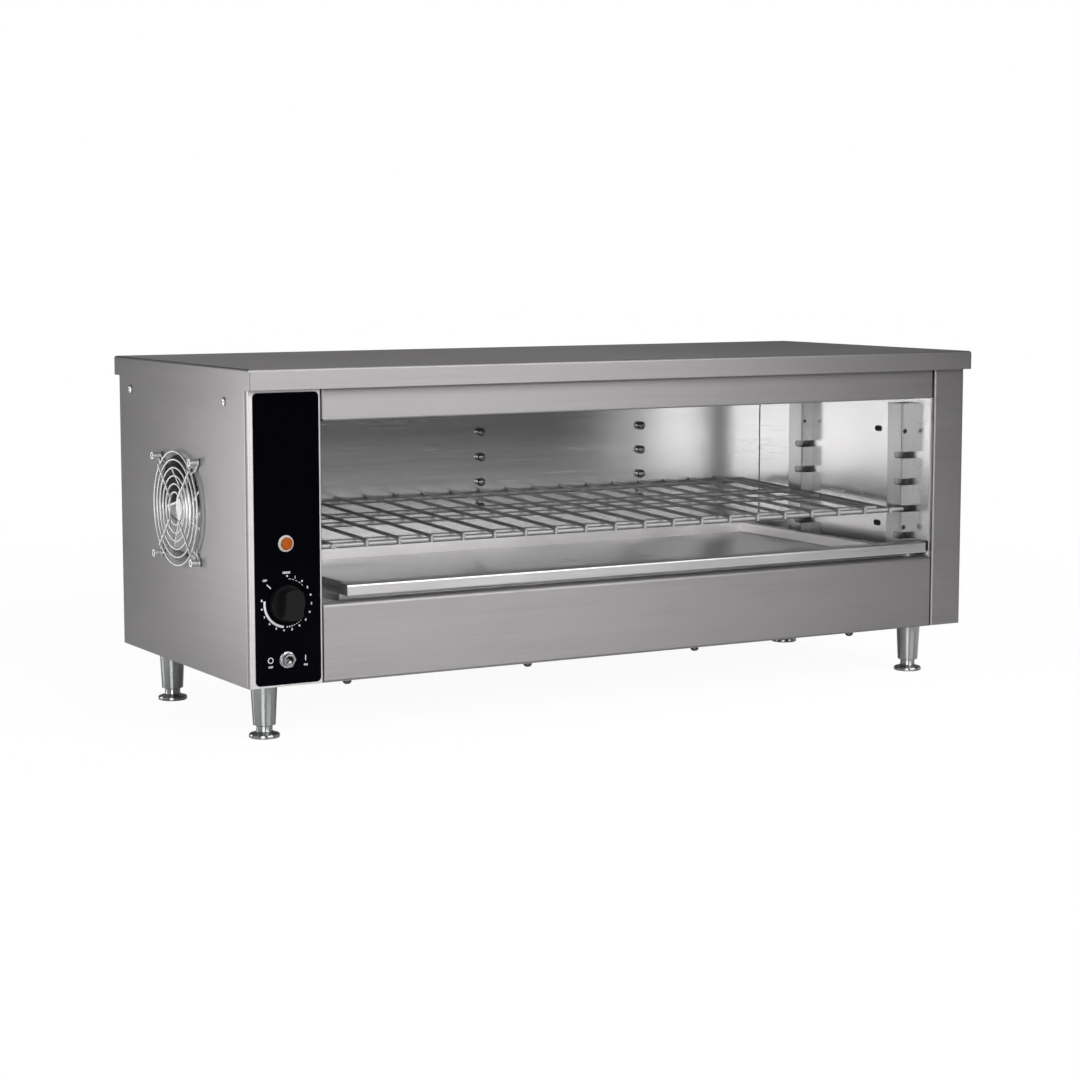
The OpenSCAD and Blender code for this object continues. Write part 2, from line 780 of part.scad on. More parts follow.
module fan_frame() {
    half = fan_size / 2;
    base_t = 4;
    color(black) lift() {
        difference() {
            along_x(left_in, fan_in)
                translate([fan_c[1], fan_c[2]]) round_plate([-half, -half], [half, half], 6);
            rod_x([left, fan_c[1], fan_c[2]], fan_t + 2, duct_d);
            for (p = fan_corners()) rod_x([left, p[0], p[1]], fan_t + 2, fan_hole);
        }
        rod_x([fan_in - base_t, fan_c[1], fan_c[2]], base_t, hub_d + 2);
        for (a = [45 : 90 : 315])
            translate([fan_in - base_t, fan_c[1], fan_c[2]])
                rotate([a, 0, 0])
                    translate([0, hub_d / 2 - 1, -2.5])
                        cube([base_t, (duct_d - hub_d) / 2 + 3, 5]);
        rod_x([fan_in - 20, fan_c[1], fan_c[2]], 20, spindle_d);
    }
}

// Hub with pitched blades: each blade is a tilted plate that is cut round to the duct.
module fan_rotor() {
    hub_x = fan_in - 5 - rotor_h;
    color([0.12, 0.12, 0.13]) lift()
        difference() {
            union() {
                rod_x([hub_x, fan_c[1], fan_c[2]], rotor_h, hub_d);
                intersection() {
                    rod_x([hub_x, fan_c[1], fan_c[2]], rotor_h, rotor_d);
                    translate([hub_x + rotor_h / 2, fan_c[1], fan_c[2]])
                        for (k = [0 : blades - 1])
                            rotate([k * 360 / blades, 0, 0])
                                translate([0, 0, hub_d / 2 - 3])
                                    rotate([0, 0, blade_pitch])
                                        translate([-16, -blade_t / 2, 0])
                                            cube([32, blade_t, rotor_d / 2]);
                }
            }
            rod_x([hub_x - 1, fan_c[1], fan_c[2]], rotor_h + 2, spindle_d + 2 * run_gap);
        }
}

// Round wire guard: rings on four spokes. At each corner two legs slope down from the outer ring
// and close in a loop round the screw.
module fan_guard() {
    ring_x = left - guard_stand;
    spoke_x = ring_x - 0.8 * guard_wire;
    lug = fan_pitch / 2 * sqrt(2);
    outer = guard_rings[len(guard_rings) - 1];
    knee = outer + 5;
    leg_top = sqrt(outer * outer - loop_r * loop_r);
    color(bright) lift() translate([0, fan_c[1], fan_c[2]]) {
        for (r = guard_rings)
            translate([ring_x, 0, 0]) rotate([0, 90, 0])
                rotate_extrude() translate([r, 0]) circle(d = guard_wire, $fn = 16);
        for (a = [45 : 90 : 315]) rotate([a, 0, 0]) {
            rod_y([spoke_x, guard_rings[0] - 1, 0], outer + 2 - guard_rings[0], guard_wire);
            translate([loop_x, lug, 0]) rotate([0, 90, 0])
                rotate_extrude(angle = 180) translate([loop_r, 0]) circle(d = guard_wire, $fn = 16);
            for (s = [-1, 1] * loop_r) {
                wire_path([[loop_x, lug, s], [loop_x, knee, s], [ring_x, leg_top, s]], guard_wire);
                translate([ring_x, leg_top, s]) sphere(d = guard_wire + 0.6, $fn = 16);
            }
        }
    }
}

// Screws that come from inside, through the fan and the panel, into the barrel nuts
module fan_screws() {
    color(bright) lift()
        for (p = fan_corners())
            translate([fan_in, p[0], p[1]]) rotate([0, -90, 0])
                screw(fan_in - barrel_end - barrel_mouth - 0.4, screw_d - 0.1, 10, 3.4);
}

// Tall round nuts that clamp the guard's loops to the panel, with a wide mouth
module fan_nuts() {
    color(bright) lift()
        for (p = fan_corners()) difference() {
            rod_x([barrel_end, p[0], p[1]], barrel_len, barrel_d);
            rod_x([barrel_end - 1, p[0], p[1]], barrel_len + 2, screw_d);
            rod_x([barrel_end - 1, p[0], p[1]], barrel_mouth + 1, barrel_d - 2.4);
        }
}

// ---------------------------------------------------------------- controls

module heat_control() {
    body_in = front_in;
    color([0.75, 0.72, 0.62]) lift() difference() {
        union() {
            block([panel_x - 22, body_in, knob_z - 22], [panel_x + 22, body_in + 34, knob_z + 22]);
            rod_y([panel_x, front - 4.4, knob_z], 6, bush_d);
        }
        rod_y([panel_x, front - 6, knob_z], 26, shaft_d + 2 * run_gap);
    }
}

module control_nut() {
    color(bright) lift() difference() {
        translate([panel_x, overlay_face - 2.6, knob_z]) rotate([-90, 0, 0])
            cylinder(h = 2.6, d = 14 / cos(30), $fn = 6);
        rod_y([panel_x, front - 5, knob_z], 6, bush_d + 0.1);
    }
}

module control_shaft() {
    color(bright) lift()
        rod_y([panel_x, overlay_face - knob_gap - shaft_out + 1, knob_z],
              shaft_out + knob_gap + overlay_t + 17, shaft_d);
}

// Round skirt with a raised grip bar across it. The bar points straight up.
module control_knob() {
    y0 = overlay_face - knob_gap;
    bar = 19;
    color([0.06, 0.06, 0.065]) lift() difference() {
        union() {
            rod_y([panel_x, y0 - 5.5, knob_z], 5.5, knob_d - 2, knob_d);
            intersection() {
                rod_y([panel_x, y0 - knob_h, knob_z], knob_h - 4, knob_d - 7, knob_d - 4);
                block([panel_x - bar / 2, y0 - knob_h, knob_z - knob_d],
                      [panel_x + bar / 2, y0 - 4, knob_z + knob_d]);
            }
        }
        rod_y([panel_x, y0 - 4.2, knob_z], 5, 17.4);
        rod_y([panel_x, y0 - shaft_out, knob_z], shaft_out + 1, shaft_d + 0.1);
    }
}

module lamp_bezel() {
    color([0.92, 0.92, 0.92]) lift() difference() {
        union() {
            rod_y([panel_x, overlay_face - 2.2, lamp_z], 2.2, bezel_d - 2.4, bezel_d);
            rod_y([panel_x, overlay_face - 0.1, lamp_z], 9, bezel_d - 4.4);
        }
        rod_y([panel_x, overlay_face - 3, lamp_z], 2.6, lens_d + 0.2);
        rod_y([panel_x, overlay_face - 3, lamp_z], 13, bezel_d - 6.4);
    }
}

module lamp_lens() {
    dome = 18;
    rise = 4.2;
    seat = 0.6;
    color([0.95, 0.42, 0.08]) lift() {
        intersection() {
            translate([panel_x, overlay_face - rise + dome / 2, lamp_z]) sphere(d = dome);
            rod_y([panel_x, overlay_face - rise, lamp_z], rise - seat, lens_d);
        }
        rod_y([panel_x, overlay_face - seat - 0.1, lamp_z], 7 + seat, bezel_d - 6.6);
    }
}

module lamp_body() {
    y0 = overlay_face + 8.9;
    color([0.85, 0.85, 0.82]) lift() {
        rod_y([panel_x, y0, lamp_z], 18, bezel_d - 3.4);
        for (s = [-1, 1]) block([panel_x + s * 3 - 0.4, y0 + 18, lamp_z - 1.6],
                                [panel_x + s * 3 + 0.4, y0 + 25, lamp_z + 1.6]);
    }
}

module switch_body() {
    color([0.1, 0.1, 0.1]) lift() difference() {
        union() {
            block([panel_x - 14, front_in, switch_z - 8], [panel_x + 14, front_in + 22, switch_z + 8]);
            rod_y([panel_x, switch_mouth, switch_z], front_in - switch_mouth + 1, switch_bush);
            for (x = [-9, 0, 9])
                block([panel_x + x - 0.4, front_in + 21.9, switch_z - 2.4],
                      [panel_x + x + 0.4, front_in + 30, switch_z + 2.4]);
        }
        rod_y([panel_x, switch_mouth, switch_z], switch_pivot - 1.5 - switch_mouth, 9.2, 5.6);
        translate([panel_x, switch_pivot, switch_z]) sphere(d = 6.4);
        rod_y([panel_x, switch_pivot, switch_z], 12, 4);
    }
}

module switch_nut() {
    color(bright) lift() difference() {
        translate([panel_x, overlay_face - 3, switch_z]) rotate([-90, 0, 0])
            cylinder(h = 3, d = 17 / cos(30) - 2, $fn = 6);
        rod_y([panel_x, front - 5, switch_z], 6, switch_bush + 0.1);
    }
}

// Bat lever on a ball, tilted to the left, where the switch is off.
module toggle_lever() {
    color(bright) lift()
        translate([panel_x, switch_pivot, switch_z]) rotate([0, 0, -toggle_tilt]) {
            sphere(d = 5.6);
            rod_y([0, -lever_len, 0], lever_len, 5, 2.6);
            translate([0, -lever_len, 0]) sphere(d = 5);
        }
}

// ---------------------------------------------------------------- electrics

module contactor() {
    x1 = contactor_x;
    y = [contactor_y[0], contactor_y[3]];
    z = contactor_z;
    color([0.16, 0.16, 0.17]) lift() {
        block([x1 - 34, y[0] - 6, z[0] - 4], [x1, y[1] + 6, z[1] + 4]);
        block([x1 - 40, y[0] + 2, z[0] + 4], [x1 - 33.9, y[1] - 2, z[1] - 4]);
        for (h = z, d = contactor_y) rod_x([x1 - 36, d, h], 2.1, 5);
    }
}

module terminal_block() {
    color([0.87, 0.85, 0.78]) lift() {
        block([terminal_x - 12, terminal_y[0] - 8, sheet], [terminal_x + 12, terminal_y[2] + 8, 18]);
        for (y = terminal_y) rod_z([terminal_x, y, 17.9], 3, 6);
    }
}

module limit_thermostat() {
    x1 = cav_l - sheet;
    color([0.82, 0.82, 0.80]) lift() {
        rod_x([x1 - 10, limit_y, limit_z], 10, 16);
        rod_x([x1 - 1, limit_y, limit_z], 1, 22);
        for (s = [-1, 1])
            block([x1 - 18, limit_y + 4 * s - 2, limit_z - 0.4],
                  [x1 - 9.9, limit_y + 4 * s + 2, limit_z + 0.4]);
    }
}

// Main leads of the control compartment, each from one terminal to the next.
module wiring() {
    d = 3;
    away = touch + d / 2;
    switch_y = front_in + 30 + away;
    pole_x = contactor_x - 36 - away;
    terminal_top = 20.9 + away;
    heater_end = heater_start - 20 - away;
    limit_end = cav_l - sheet - 18 - away;
    color([0.5, 0.08, 0.06]) lift() {
        wire_path([[panel_x, switch_y, switch_z], [panel_x, -100, switch_z - 6],
                   [terminal_x, terminal_y[0] - 28, 34], [terminal_x, terminal_y[0], terminal_top]], d);
        wire_path([[panel_x + 9, switch_y, switch_z + 1], [panel_x + 6, -100, 34],
                   [pole_x, contactor_y[0], contactor_z[0]]], d);
        wire_path([[terminal_x, terminal_y[1], terminal_top], [pole_x - 4, contactor_y[1] - 2, 36],
                   [pole_x - 4, contactor_y[2], 50], [pole_x, contactor_y[2], contactor_z[0]]], d);
        for (i = [0 : 2]) {
            y = heater_y[i] - heater_half;
            wire_path([[pole_x, contactor_y[i], contactor_z[1]],
                       [pole_x - 2, contactor_y[i], limit_z + 4 * i],
                       [heater_end, y, heater_z - 17 + 2 * i], [heater_end, y, heater_z]], d);
        }
        wire_path([[panel_x, front_in + 34 + away, knob_z], [panel_x + 10, -110, knob_z + 30],
                   [limit_end, limit_y - 4, limit_z - 15], [limit_end, limit_y - 4, limit_z]], d);
    }
}

// Flanged bushing in the rear panel, where the supply comes in.
module power_inlet_bushing() {
    y1 = rear_y + sheet;
    color(black) lift() difference() {
        union() {
            rod_y([inlet_x, y1, inlet_z], 6, inlet_d + 8, inlet_d + 5);
            rod_y([inlet_x, rear_y - 12, inlet_z], 12.1 + sheet, inlet_d);
            rod_y([inlet_x, rear_y - 5, inlet_z], 5, inlet_d + 7);
        }
        rod_y([inlet_x, rear_y - 13, inlet_z], 30, inlet_d - 8);
    }
}

// ---------------------------------------------------------------- legs and fasteners

// Tapered sleeves: each has a stud on top for the cabinet and a bore below for its foot.
module leg_sleeves() {
    flat = 3;
    color(bright) stand() for (p = leg_places)
        translate([p[0], p[1], leg_h]) difference() {
            union() {
                translate([0, 0, -flat]) cylinder(h = flat, d = leg_top_d);
                translate([0, 0, -sleeve_h])
                    cylinder(h = sleeve_h - flat, d1 = leg_low_d, d2 = leg_top_d);
                cylinder(h = 9, d = stem_d);
            }
            translate([0, 0, -sleeve_h - 1])
                cylinder(h = sleeve_h - 5, d = stem_d + 2 * run_gap);
        }
}

module leg_nuts() {
    color(bright) stand() for (p = leg_places)
        translate([p[0], p[1], leg_h + sheet]) difference() {
            cylinder(h = 6, d = 17 / cos(30), $fn = 6);
            translate([0, 0, -1]) cylinder(h = 8, d = stem_d + 0.1);
        }
}

// Foot with a stem that screws into its sleeve. At rest it is screwed right in.
module levelling_foot(p) {
    neck_top = leg_h - sleeve_h - touch;
    base = 6.2;
    color(bright) stand() translate([p[0], p[1], 0]) {
        rotate_extrude()
            polygon([[0, 0], [foot_d / 2 - 1, 0], [foot_d / 2, 1.2], [foot_d / 2, base - 2.6],
                     [foot_d / 2 - 2, base - 1], [neck_d / 2 + 1, base], [neck_d / 2, base + 1.2],
                     [neck_d / 2, neck_top - 1], [neck_d / 2 - 1, neck_top], [0, neck_top]]);
        translate([0, 0, neck_top - 0.5]) cylinder(h = sleeve_h - 8, d = stem_d);
    }
}

module front_left_foot() {
    levelling_foot(leg_places[0]);
}

module front_right_foot() {
    levelling_foot(leg_places[1]);
}

module rear_left_foot() {
    levelling_foot(leg_places[2]);
}

module rear_right_foot() {
    levelling_foot(leg_places[3]);
}

module underside_screws() {
    color(bright) lift()
        for (x = under_screw_x, y = [under_screw_y, -under_screw_y])
            translate([x, y, 0]) screw(10, screw_d, 9.2, 5.5);
}

module side_screws() {
    color(bright) lift() {
        for (y = side_screw_y) {
            translate([left, y, side_screw_z]) rotate([0, 90, 0]) screw(8, screw_d, 9, 1.6);
            translate([right, y, side_screw_z]) rotate([0, -90, 0]) screw(8, screw_d, 9, 1.6);
        }
    }
}

module rear_screws() {
    color(bright) lift()
        for (s = [-1, 1], z = rear_screw_z)
            translate([s * rear_screw_x, back, z]) rotate([90, 0, 0]) screw(8, screw_d, 8, 2.2);
}

top_cover();
left_side_panel();
right_side_panel();
rear_panel();
bottom_panel();
front_header();
front_apron();
panel_overlay();
cavity_left_wall();
cavity_right_wall();
cavity_floor();
reflector();
top_insulation();
side_insulation();
heating_elements();
element_terminals();
element_brackets();
front_left_upright();
rear_left_upright();
front_right_upright();
rear_right_upright();
rack_pegs();
wall_rivets();
wire_rack();
crumb_tray();
fan_frame();
fan_rotor();
fan_guard();
fan_screws();
fan_nuts();
heat_control();
control_nut();
control_shaft();
control_knob();
lamp_bezel();
lamp_lens();
lamp_body();
switch_body();
switch_nut();
toggle_lever();
contactor();
terminal_block();
limit_thermostat();
wiring();
power_inlet_bushing();
leg_sleeves();
leg_nuts();
front_left_foot();
front_right_foot();
rear_left_foot();
rear_right_foot();
underside_screws();
side_screws();
rear_screws();
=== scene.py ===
"""Looks of a countertop cheese melter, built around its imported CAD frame.

The cabinet's own frame is the CAD source's: millimetres from the middle of the cover, with
z = 0 at the cabinet's underside. ROW carries it to the row frame, in which every object lies.
"""

import json
import math

import bmesh
import bpy
import numpy as np
from mathutils import Matrix, Vector

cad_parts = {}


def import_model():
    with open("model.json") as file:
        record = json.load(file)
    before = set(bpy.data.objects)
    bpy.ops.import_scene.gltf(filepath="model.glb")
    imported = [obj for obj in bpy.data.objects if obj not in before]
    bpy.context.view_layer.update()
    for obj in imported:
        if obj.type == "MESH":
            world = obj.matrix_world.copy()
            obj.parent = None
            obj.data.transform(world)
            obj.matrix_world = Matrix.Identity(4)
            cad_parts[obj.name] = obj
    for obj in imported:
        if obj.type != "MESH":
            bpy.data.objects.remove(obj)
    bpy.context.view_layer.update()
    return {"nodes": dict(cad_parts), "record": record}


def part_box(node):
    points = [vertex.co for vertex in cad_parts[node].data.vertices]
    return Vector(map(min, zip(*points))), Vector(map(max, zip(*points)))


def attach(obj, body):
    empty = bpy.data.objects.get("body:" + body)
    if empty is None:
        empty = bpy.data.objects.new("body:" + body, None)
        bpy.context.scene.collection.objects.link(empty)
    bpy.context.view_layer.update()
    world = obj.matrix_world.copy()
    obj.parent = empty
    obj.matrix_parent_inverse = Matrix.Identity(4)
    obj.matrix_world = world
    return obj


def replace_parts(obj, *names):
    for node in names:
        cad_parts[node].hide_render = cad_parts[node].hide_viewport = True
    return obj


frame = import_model()
NODES = frame["nodes"]

MM = 0.001
TAU = 2 * math.pi

# From the cabinet's own frame to the row frame: the cover's middle, and its top less its height
CABINET_H = 323.0
COVER_LOW, COVER_HIGH = (np.array(corner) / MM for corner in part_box("top_cover"))
ROW = (COVER_LOW + COVER_HIGH) / 2
ROW[2] = COVER_HIGH[2] - CABINET_H

# Casing: its outside, its sheet, and the widths and heights of its front parts
LEFT, FRONT, BACK = -456.2, -177.1, 177.1
BODY_WIDTH = -2 * LEFT
COVER_HALF = 457.2
SHEET = 0.9
CONTROL_WIDTH, COLUMN_WIDTH = 82.4, 44.1
APRON_TOP, SKIRT_Z = 81.5, 301.9

# Inside faces of the cavity, and the slotted uprights on its walls
WALL_LEFT, WALL_RIGHT = LEFT + CONTROL_WIDTH + SHEET, -LEFT - COLUMN_WIDTH - SHEET
CAVITY_BACK = BACK - 2 * SHEET
UPRIGHT_FRONT, UPRIGHT_DEPTH = FRONT + 38, 16
UPRIGHT_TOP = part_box("front_right_upright")[1][2] / MM - ROW[2]
HOOK_HOLE_Y = FRONT + 104
HOOK_HOLE_Z = (APRON_TOP + 31.5, UPRIGHT_TOP - 33.6)

# Screws
SIDE_SCREW_Y, SIDE_SCREW_Z = (FRONT + 54.5, FRONT + 318.5), 288.0
UNDERSIDE_SCREW_X = LEFT + BODY_WIDTH * (0.1264 + 0.2354 * np.arange(4))
UNDERSIDE_SCREW_Y = FRONT + 14
REAR_SCREW_X = -LEFT - 9
REAR_SCREW_Z = 40 + np.arange(4) * (SKIRT_Z - 62) / 3

# Control column: label, controls and the label's print, whose angles are in degrees clockwise
PANEL_X = -414.4
OVERLAY_FACE = -177.6
KNOB_Z, LAMP_Z, SWITCH_Z = 86.0, 146.6, 28.2
INK_BACK, INK_FRONT = OVERLAY_FACE + 0.04, OVERLAY_FACE - 0.07
SCALE_R, SCALE_BEADS, SCALE_FULL, SCALE_END = 24.2, 140, 188, 278
OFF_ANGLE = -47.0
MARK_R, MARK_STEP, MARK_COUNT = 27.6, 18.45, 16
SWITCH_UP = SWITCH_Z - KNOB_Z
SWITCH_LEFT, SWITCH_RIGHT = -18.2, 20.4

# Fan and legs
FAN_CENTRE = (np.sum(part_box("fan_frame"), 0) / 2 / MM - ROW)[1:]
HUB_FACE = -451.3
LEG_LENGTH = 59.5
LEG_X, LEG_Y = 418.4, 127.0
SLEEVE_LENGTH, STEM_LENGTH = 46.0, 37.0

# Rack pegs, and the wire rack, whose rails lie at shares of its depth
PEG_R, PEG_LENGTH, PEG_BARREL = 5.2, 8.0, 4.2
PEG_COLUMN, PEG_Z, PEG_PITCH = BODY_WIDTH / 4, 131.2, 30.2
RACK_LEFT, RACK_RIGHT = WALL_LEFT + 30.1, WALL_RIGHT - 30.1
RACK_FRONT = UPRIGHT_FRONT + 5.5
RACK_DEPTH = CAVITY_BACK - 6 - RACK_FRONT
RACK_RISE = 11.25
RACK_Z = APRON_TOP + 22.9 + 31.75 - 4 + 3 + 0.3
RACK_RAILS = (0.072, 0.453, 0.649, 1.0)
RACK_WIRES = 20
WELD_LIFT = 2.4


# ---------------------------------------------------------------- meshes from surfaces


def grid_faces(rows, columns, close_rows, close_columns):
    """Corner numbers of the quads between neighbouring points of a grid, as one array.

    A closed direction also joins its last line of points to its first."""
    i = np.arange(rows if close_rows else rows - 1)
    j = np.arange(columns if close_columns else columns - 1)
    i, j = np.meshgrid(i, j, indexing="ij")
    near, far = i * columns, (i + 1) % rows * columns
    here, there = j, (j + 1) % columns
    return np.stack([near + here, near + there, far + there, far + here], -1).reshape(-1, 4)


def piece(name, parts, material, body="cabinet"):
    """One object of several grids of points, each given in the cabinet's own frame.

    A part is (points, close_rows, close_columns). Doubles at poles and seams are merged, and
    the closed shells' faces are turned outwards."""
    points, faces, start = [], [], 0
    for grid, close_rows, close_columns in parts:
        rows, columns = grid.shape[:2]
        points.append(grid.reshape(-1, 3))
        faces.append(grid_faces(rows, columns, close_rows, close_columns) + start)
        start += rows * columns
    mesh = bpy.data.meshes.new(name)
    verts = (np.concatenate(points) + ROW) * MM
    mesh.from_pydata(verts.tolist(), [], np.concatenate(faces).tolist())
    return finish_piece(name, mesh, material, body)


def finish_piece(name, mesh, material, body, smooth=True):
    """Merges doubles, turns shells outwards, shades them and hands the object to its body."""
    work = bmesh.new()
    work.from_mesh(mesh)
    bmesh.ops.remove_doubles(work, verts=work.verts, dist=1e-7)
    bmesh.ops.dissolve_degenerate(work, edges=work.edges, dist=1e-8)
    bmesh.ops.recalc_face_normals(work, faces=work.faces)
    work.to_mesh(mesh)
    work.free()
    mesh.polygons.foreach_set("use_smooth", np.full(len(mesh.polygons), smooth))
    if smooth:
        mesh.set_sharp_from_angle(angle=math.radians(32))
    mesh.materials.append(material)
    made = linked(name, mesh)
    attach(made, body)
    return made


def linked(name, data):
    """New object with the given data, linked to the scene."""
    made = bpy.data.objects.new(name, data)
    bpy.context.scene.collection.objects.link(made)
    return made


def turned(profile, steps=48):
    """Surface of revolution: each (radius, height) of the profile is carried round a circle.

    The result is (profile points, steps, 3), with the height along the third axis."""
    r, h = np.array(profile, float).T[:, :, None]
    a = np.linspace(0, TAU, steps, endpoint=False)[None]
    return np.stack([r * np.cos(a), r * np.sin(a), h + 0 * a], -1)


def aim(points, place, axis):
    """Turns a surface whose height runs along +Z so that it runs along the axis from place."""
    w = np.array(axis, float)
    w /= np.linalg.norm(w)
    u = np.cross([0, 0, 1], w) if abs(w[2]) < 0.9 else np.array([1.0, 0, 0])
    u /= np.linalg.norm(u)
    v = np.cross(w, u)
    return points @ np.array([u, v, w]) + np.array(place, float)


def soft_step(x, edge, width):
    """Rises smoothly from 0 to 1 as x passes the edge, over the given width."""
    t = np.clip((x - edge) / width + 0.5, 0, 1)
    return t * t * (3 - 2 * t)


def cross_recess_head(radius, height, recess, depth, shank_r, shank_len, steps=64):
    """Screw with a domed head and a cross recess.

    The profile runs from the middle of the head out over its dome, down to the seat and along
    the shank. Where a point lies inside either bar of the cross, its height drops by a depth
    that fades towards the bars' ends and flanks."""
    t = np.linspace(0, 1, 22)
    dome_r = radius * t
    dome_h = height * (1 - 0.45 * t**2.6)
    r = np.concatenate([dome_r, [radius, radius * 0.985, shank_r, shank_r, 0]])
    h = np.concatenate([dome_h, [height * 0.2, 0, 0, -shank_len, -shank_len - shank_r * 0.6]])
    a = np.linspace(0, TAU, steps, endpoint=False)
    x, y = r[:, None] * np.cos(a), r[:, None] * np.sin(a)
    near, far = np.minimum(abs(x), abs(y)), np.maximum(abs(x), abs(y))
    flank = 1 - soft_step(near, recess * 0.27, recess * 0.16)
    end = 1 - soft_step(far, recess, recess * 0.3)
    on_top = (np.arange(len(r)) < len(t))[:, None]
    z = h[:, None] - depth * flank * end * (1 - 0.5 * far / radius) * on_top
    return np.stack([x, y, z], -1)


# ---------------------------------------------------------------- shader nodes


def math_node(tree, operation, a, b=None, clamp=False):
    """Math node whose inputs are sockets or plain numbers."""
    node = tree.nodes.new("ShaderNodeMath")
    node.operation = operation
    node.use_clamp = clamp
    for socket, value in zip(node.inputs, (a, b)):
        if value is None:
            continue
        if isinstance(value, (int, float)):
            socket.default_value = value
        else:
            tree.links.new(value, socket)
    return node.outputs[0]


def plus(tree, a, b, clamp=False):
    """Sum of two sockets or numbers."""
    return math_node(tree, "ADD", a, b, clamp)


def minus(tree, a, b):
    """Difference of two sockets or numbers."""
    return math_node(tree, "SUBTRACT", a, b)


def times(tree, a, b, clamp=False):
    """Product of two sockets or numbers."""
    return math_node(tree, "MULTIPLY", a, b, clamp)


def centred(tree, value, amount):
    """A noise value moved to lie about 0 and scaled by an amount."""
    return times(tree, minus(tree, value, 0.5), amount)


def vector_node(tree, operation, vector, second=None):
    """Vector Math node of a socket and, where it takes two, of plain numbers."""
    node = tree.nodes.new("ShaderNodeVectorMath")
    node.operation = operation
    tree.links.new(vector, node.inputs[0])
    if second is not None:
        node.inputs[1].default_value = second
    return node.outputs["Value" if operation == "LENGTH" else "Vector"]


def scaled(tree, color, tone):
    """A colour, as a socket or plain numbers, multiplied by a tone that changes over the surface."""
    node = tree.nodes.new("ShaderNodeVectorMath")
    node.operation = "SCALE"
    if isinstance(color, tuple):
        node.inputs[0].default_value = color
    else:
        tree.links.new(color, node.inputs[0])
    tree.links.new(tone, node.inputs["Scale"])
    return node.outputs["Vector"]


def parted(tree, vector):
    """X, Y and Z of a vector, as three named sockets."""
    node = tree.nodes.new("ShaderNodeSeparateXYZ")
    tree.links.new(vector, node.inputs[0])
    return node.outputs


def coordinates(tree, kind="Object"):
    """Place on the object, in metres of the row frame."""
    return tree.nodes.new("ShaderNodeTexCoord").outputs[kind]


def facing(tree):
    """X, Y and Z of the direction that the surface looks to."""
    return parted(tree, tree.nodes.new("ShaderNodeNewGeometry").outputs["Normal"])


def smooth_ramp(tree, value, start, end, low=0.0, high=1.0):
    """Smooth step of a value: low up to the start, high from the end on."""
    node = tree.nodes.new("ShaderNodeMapRange")
    node.interpolation_type = "SMOOTHSTEP"
    for label, number in (("From Min", start), ("From Max", end), ("To Min", low), ("To Max", high)):
        node.inputs[label].default_value = number
    tree.links.new(value, node.inputs["Value"])
    return node.outputs["Result"]


def noise_node(tree, scale, stretch=(1, 1, 1), detail=3.0, rough=0.6, shift=(0, 0, 0)):
    """Noise on Object coordinates in metres, stretched by a Mapping node."""
    mapping = tree.nodes.new("ShaderNodeMapping")
    mapping.inputs["Scale"].default_value = stretch
    mapping.inputs["Location"].default_value = shift
    tree.links.new(coordinates(tree), mapping.inputs["Vector"])
    noise = tree.nodes.new("ShaderNodeTexNoise")
    noise.inputs["Scale"].default_value = scale
    noise.inputs["Detail"].default_value = detail
    noise.inputs["Roughness"].default_value = rough
    tree.links.new(mapping.outputs["Vector"], noise.inputs["Vector"])
    return noise.outputs["Fac"]


# ---------------------------------------------------------------- material groups


def new_group(name, inputs, outputs):
    """Empty shader group of plain values: inputs are {name: default value}."""
    group = bpy.data.node_groups.new(name, "ShaderNodeTree")
    for label, value in inputs.items():
        socket = group.interface.new_socket(name=label, in_out="INPUT", socket_type="NodeSocketFloat")
        socket.default_value = value
    for label in outputs:
        group.interface.new_socket(name=label, in_out="OUTPUT", socket_type="NodeSocketFloat")
    return group, group.nodes.new("NodeGroupInput"), group.nodes.new("NodeGroupOutput")


def place_group(tree, group, **values):
    """The group as a node of a material, with the material's own values."""
    node = tree.nodes.new("ShaderNodeGroup")
    node.node_tree = group
    for label, value in values.items():
        node.inputs[label].default_value = value
    return node


def brushed_group():
    """Brushed sheet: fine scratches along the sheet's width, with slow cloudy bands.

    On upright faces the scratches change quickly with height, and on level faces with depth.
    Tone is about 1, Rough is added to a roughness, and Height feeds a bump."""
    inputs = {"Contrast": 1.0, "Cloud": 1.0, "Scratch": 1.0}
    group, given, result = new_group("brushed_sheet", inputs, ("Tone", "Rough", "Height"))
    level = math_node(group, "GREATER_THAN", math_node(group, "ABSOLUTE", facing(group)["Z"]), 0.7)
    fine = []
    for scale, detail, shift in ((900, 2.0, (0, 0, 0)), (260, 3.0, (3, 1, 2))):
        upright = noise_node(group, scale, (0.012, 0.012, 1), detail, 0.7, shift)
        flat = noise_node(group, scale, (0.012, 1, 0.012), detail, 0.7, shift)
        mix = group.nodes.new("ShaderNodeMix")
        group.links.new(level, mix.inputs[0])
        group.links.new(upright, mix.inputs[2])
        group.links.new(flat, mix.inputs[3])
        fine.append(centred(group, mix.outputs[0], 0.5))
    scratches = plus(group, fine[0], fine[1])
    bands = noise_node(group, 7.0, (0.6, 0.6, 3.0), 3.0, 0.55, (1.3, 0.4, 2.2))
    clouds = times(group, centred(group, bands, 1.0), given.outputs["Cloud"])
    streaks = times(group, times(group, scratches, given.outputs["Contrast"]), 0.34)
    tone = plus(group, plus(group, streaks, times(group, clouds, 0.16)), 1.0)
    rough = plus(group, times(group, scratches, 0.16), times(group, clouds, 0.10))
    height = times(group, scratches, given.outputs["Scratch"])
    group.links.new(tone, result.inputs["Tone"])
    group.links.new(rough, result.inputs["Rough"])
    group.links.new(height, result.inputs["Height"])
    return group


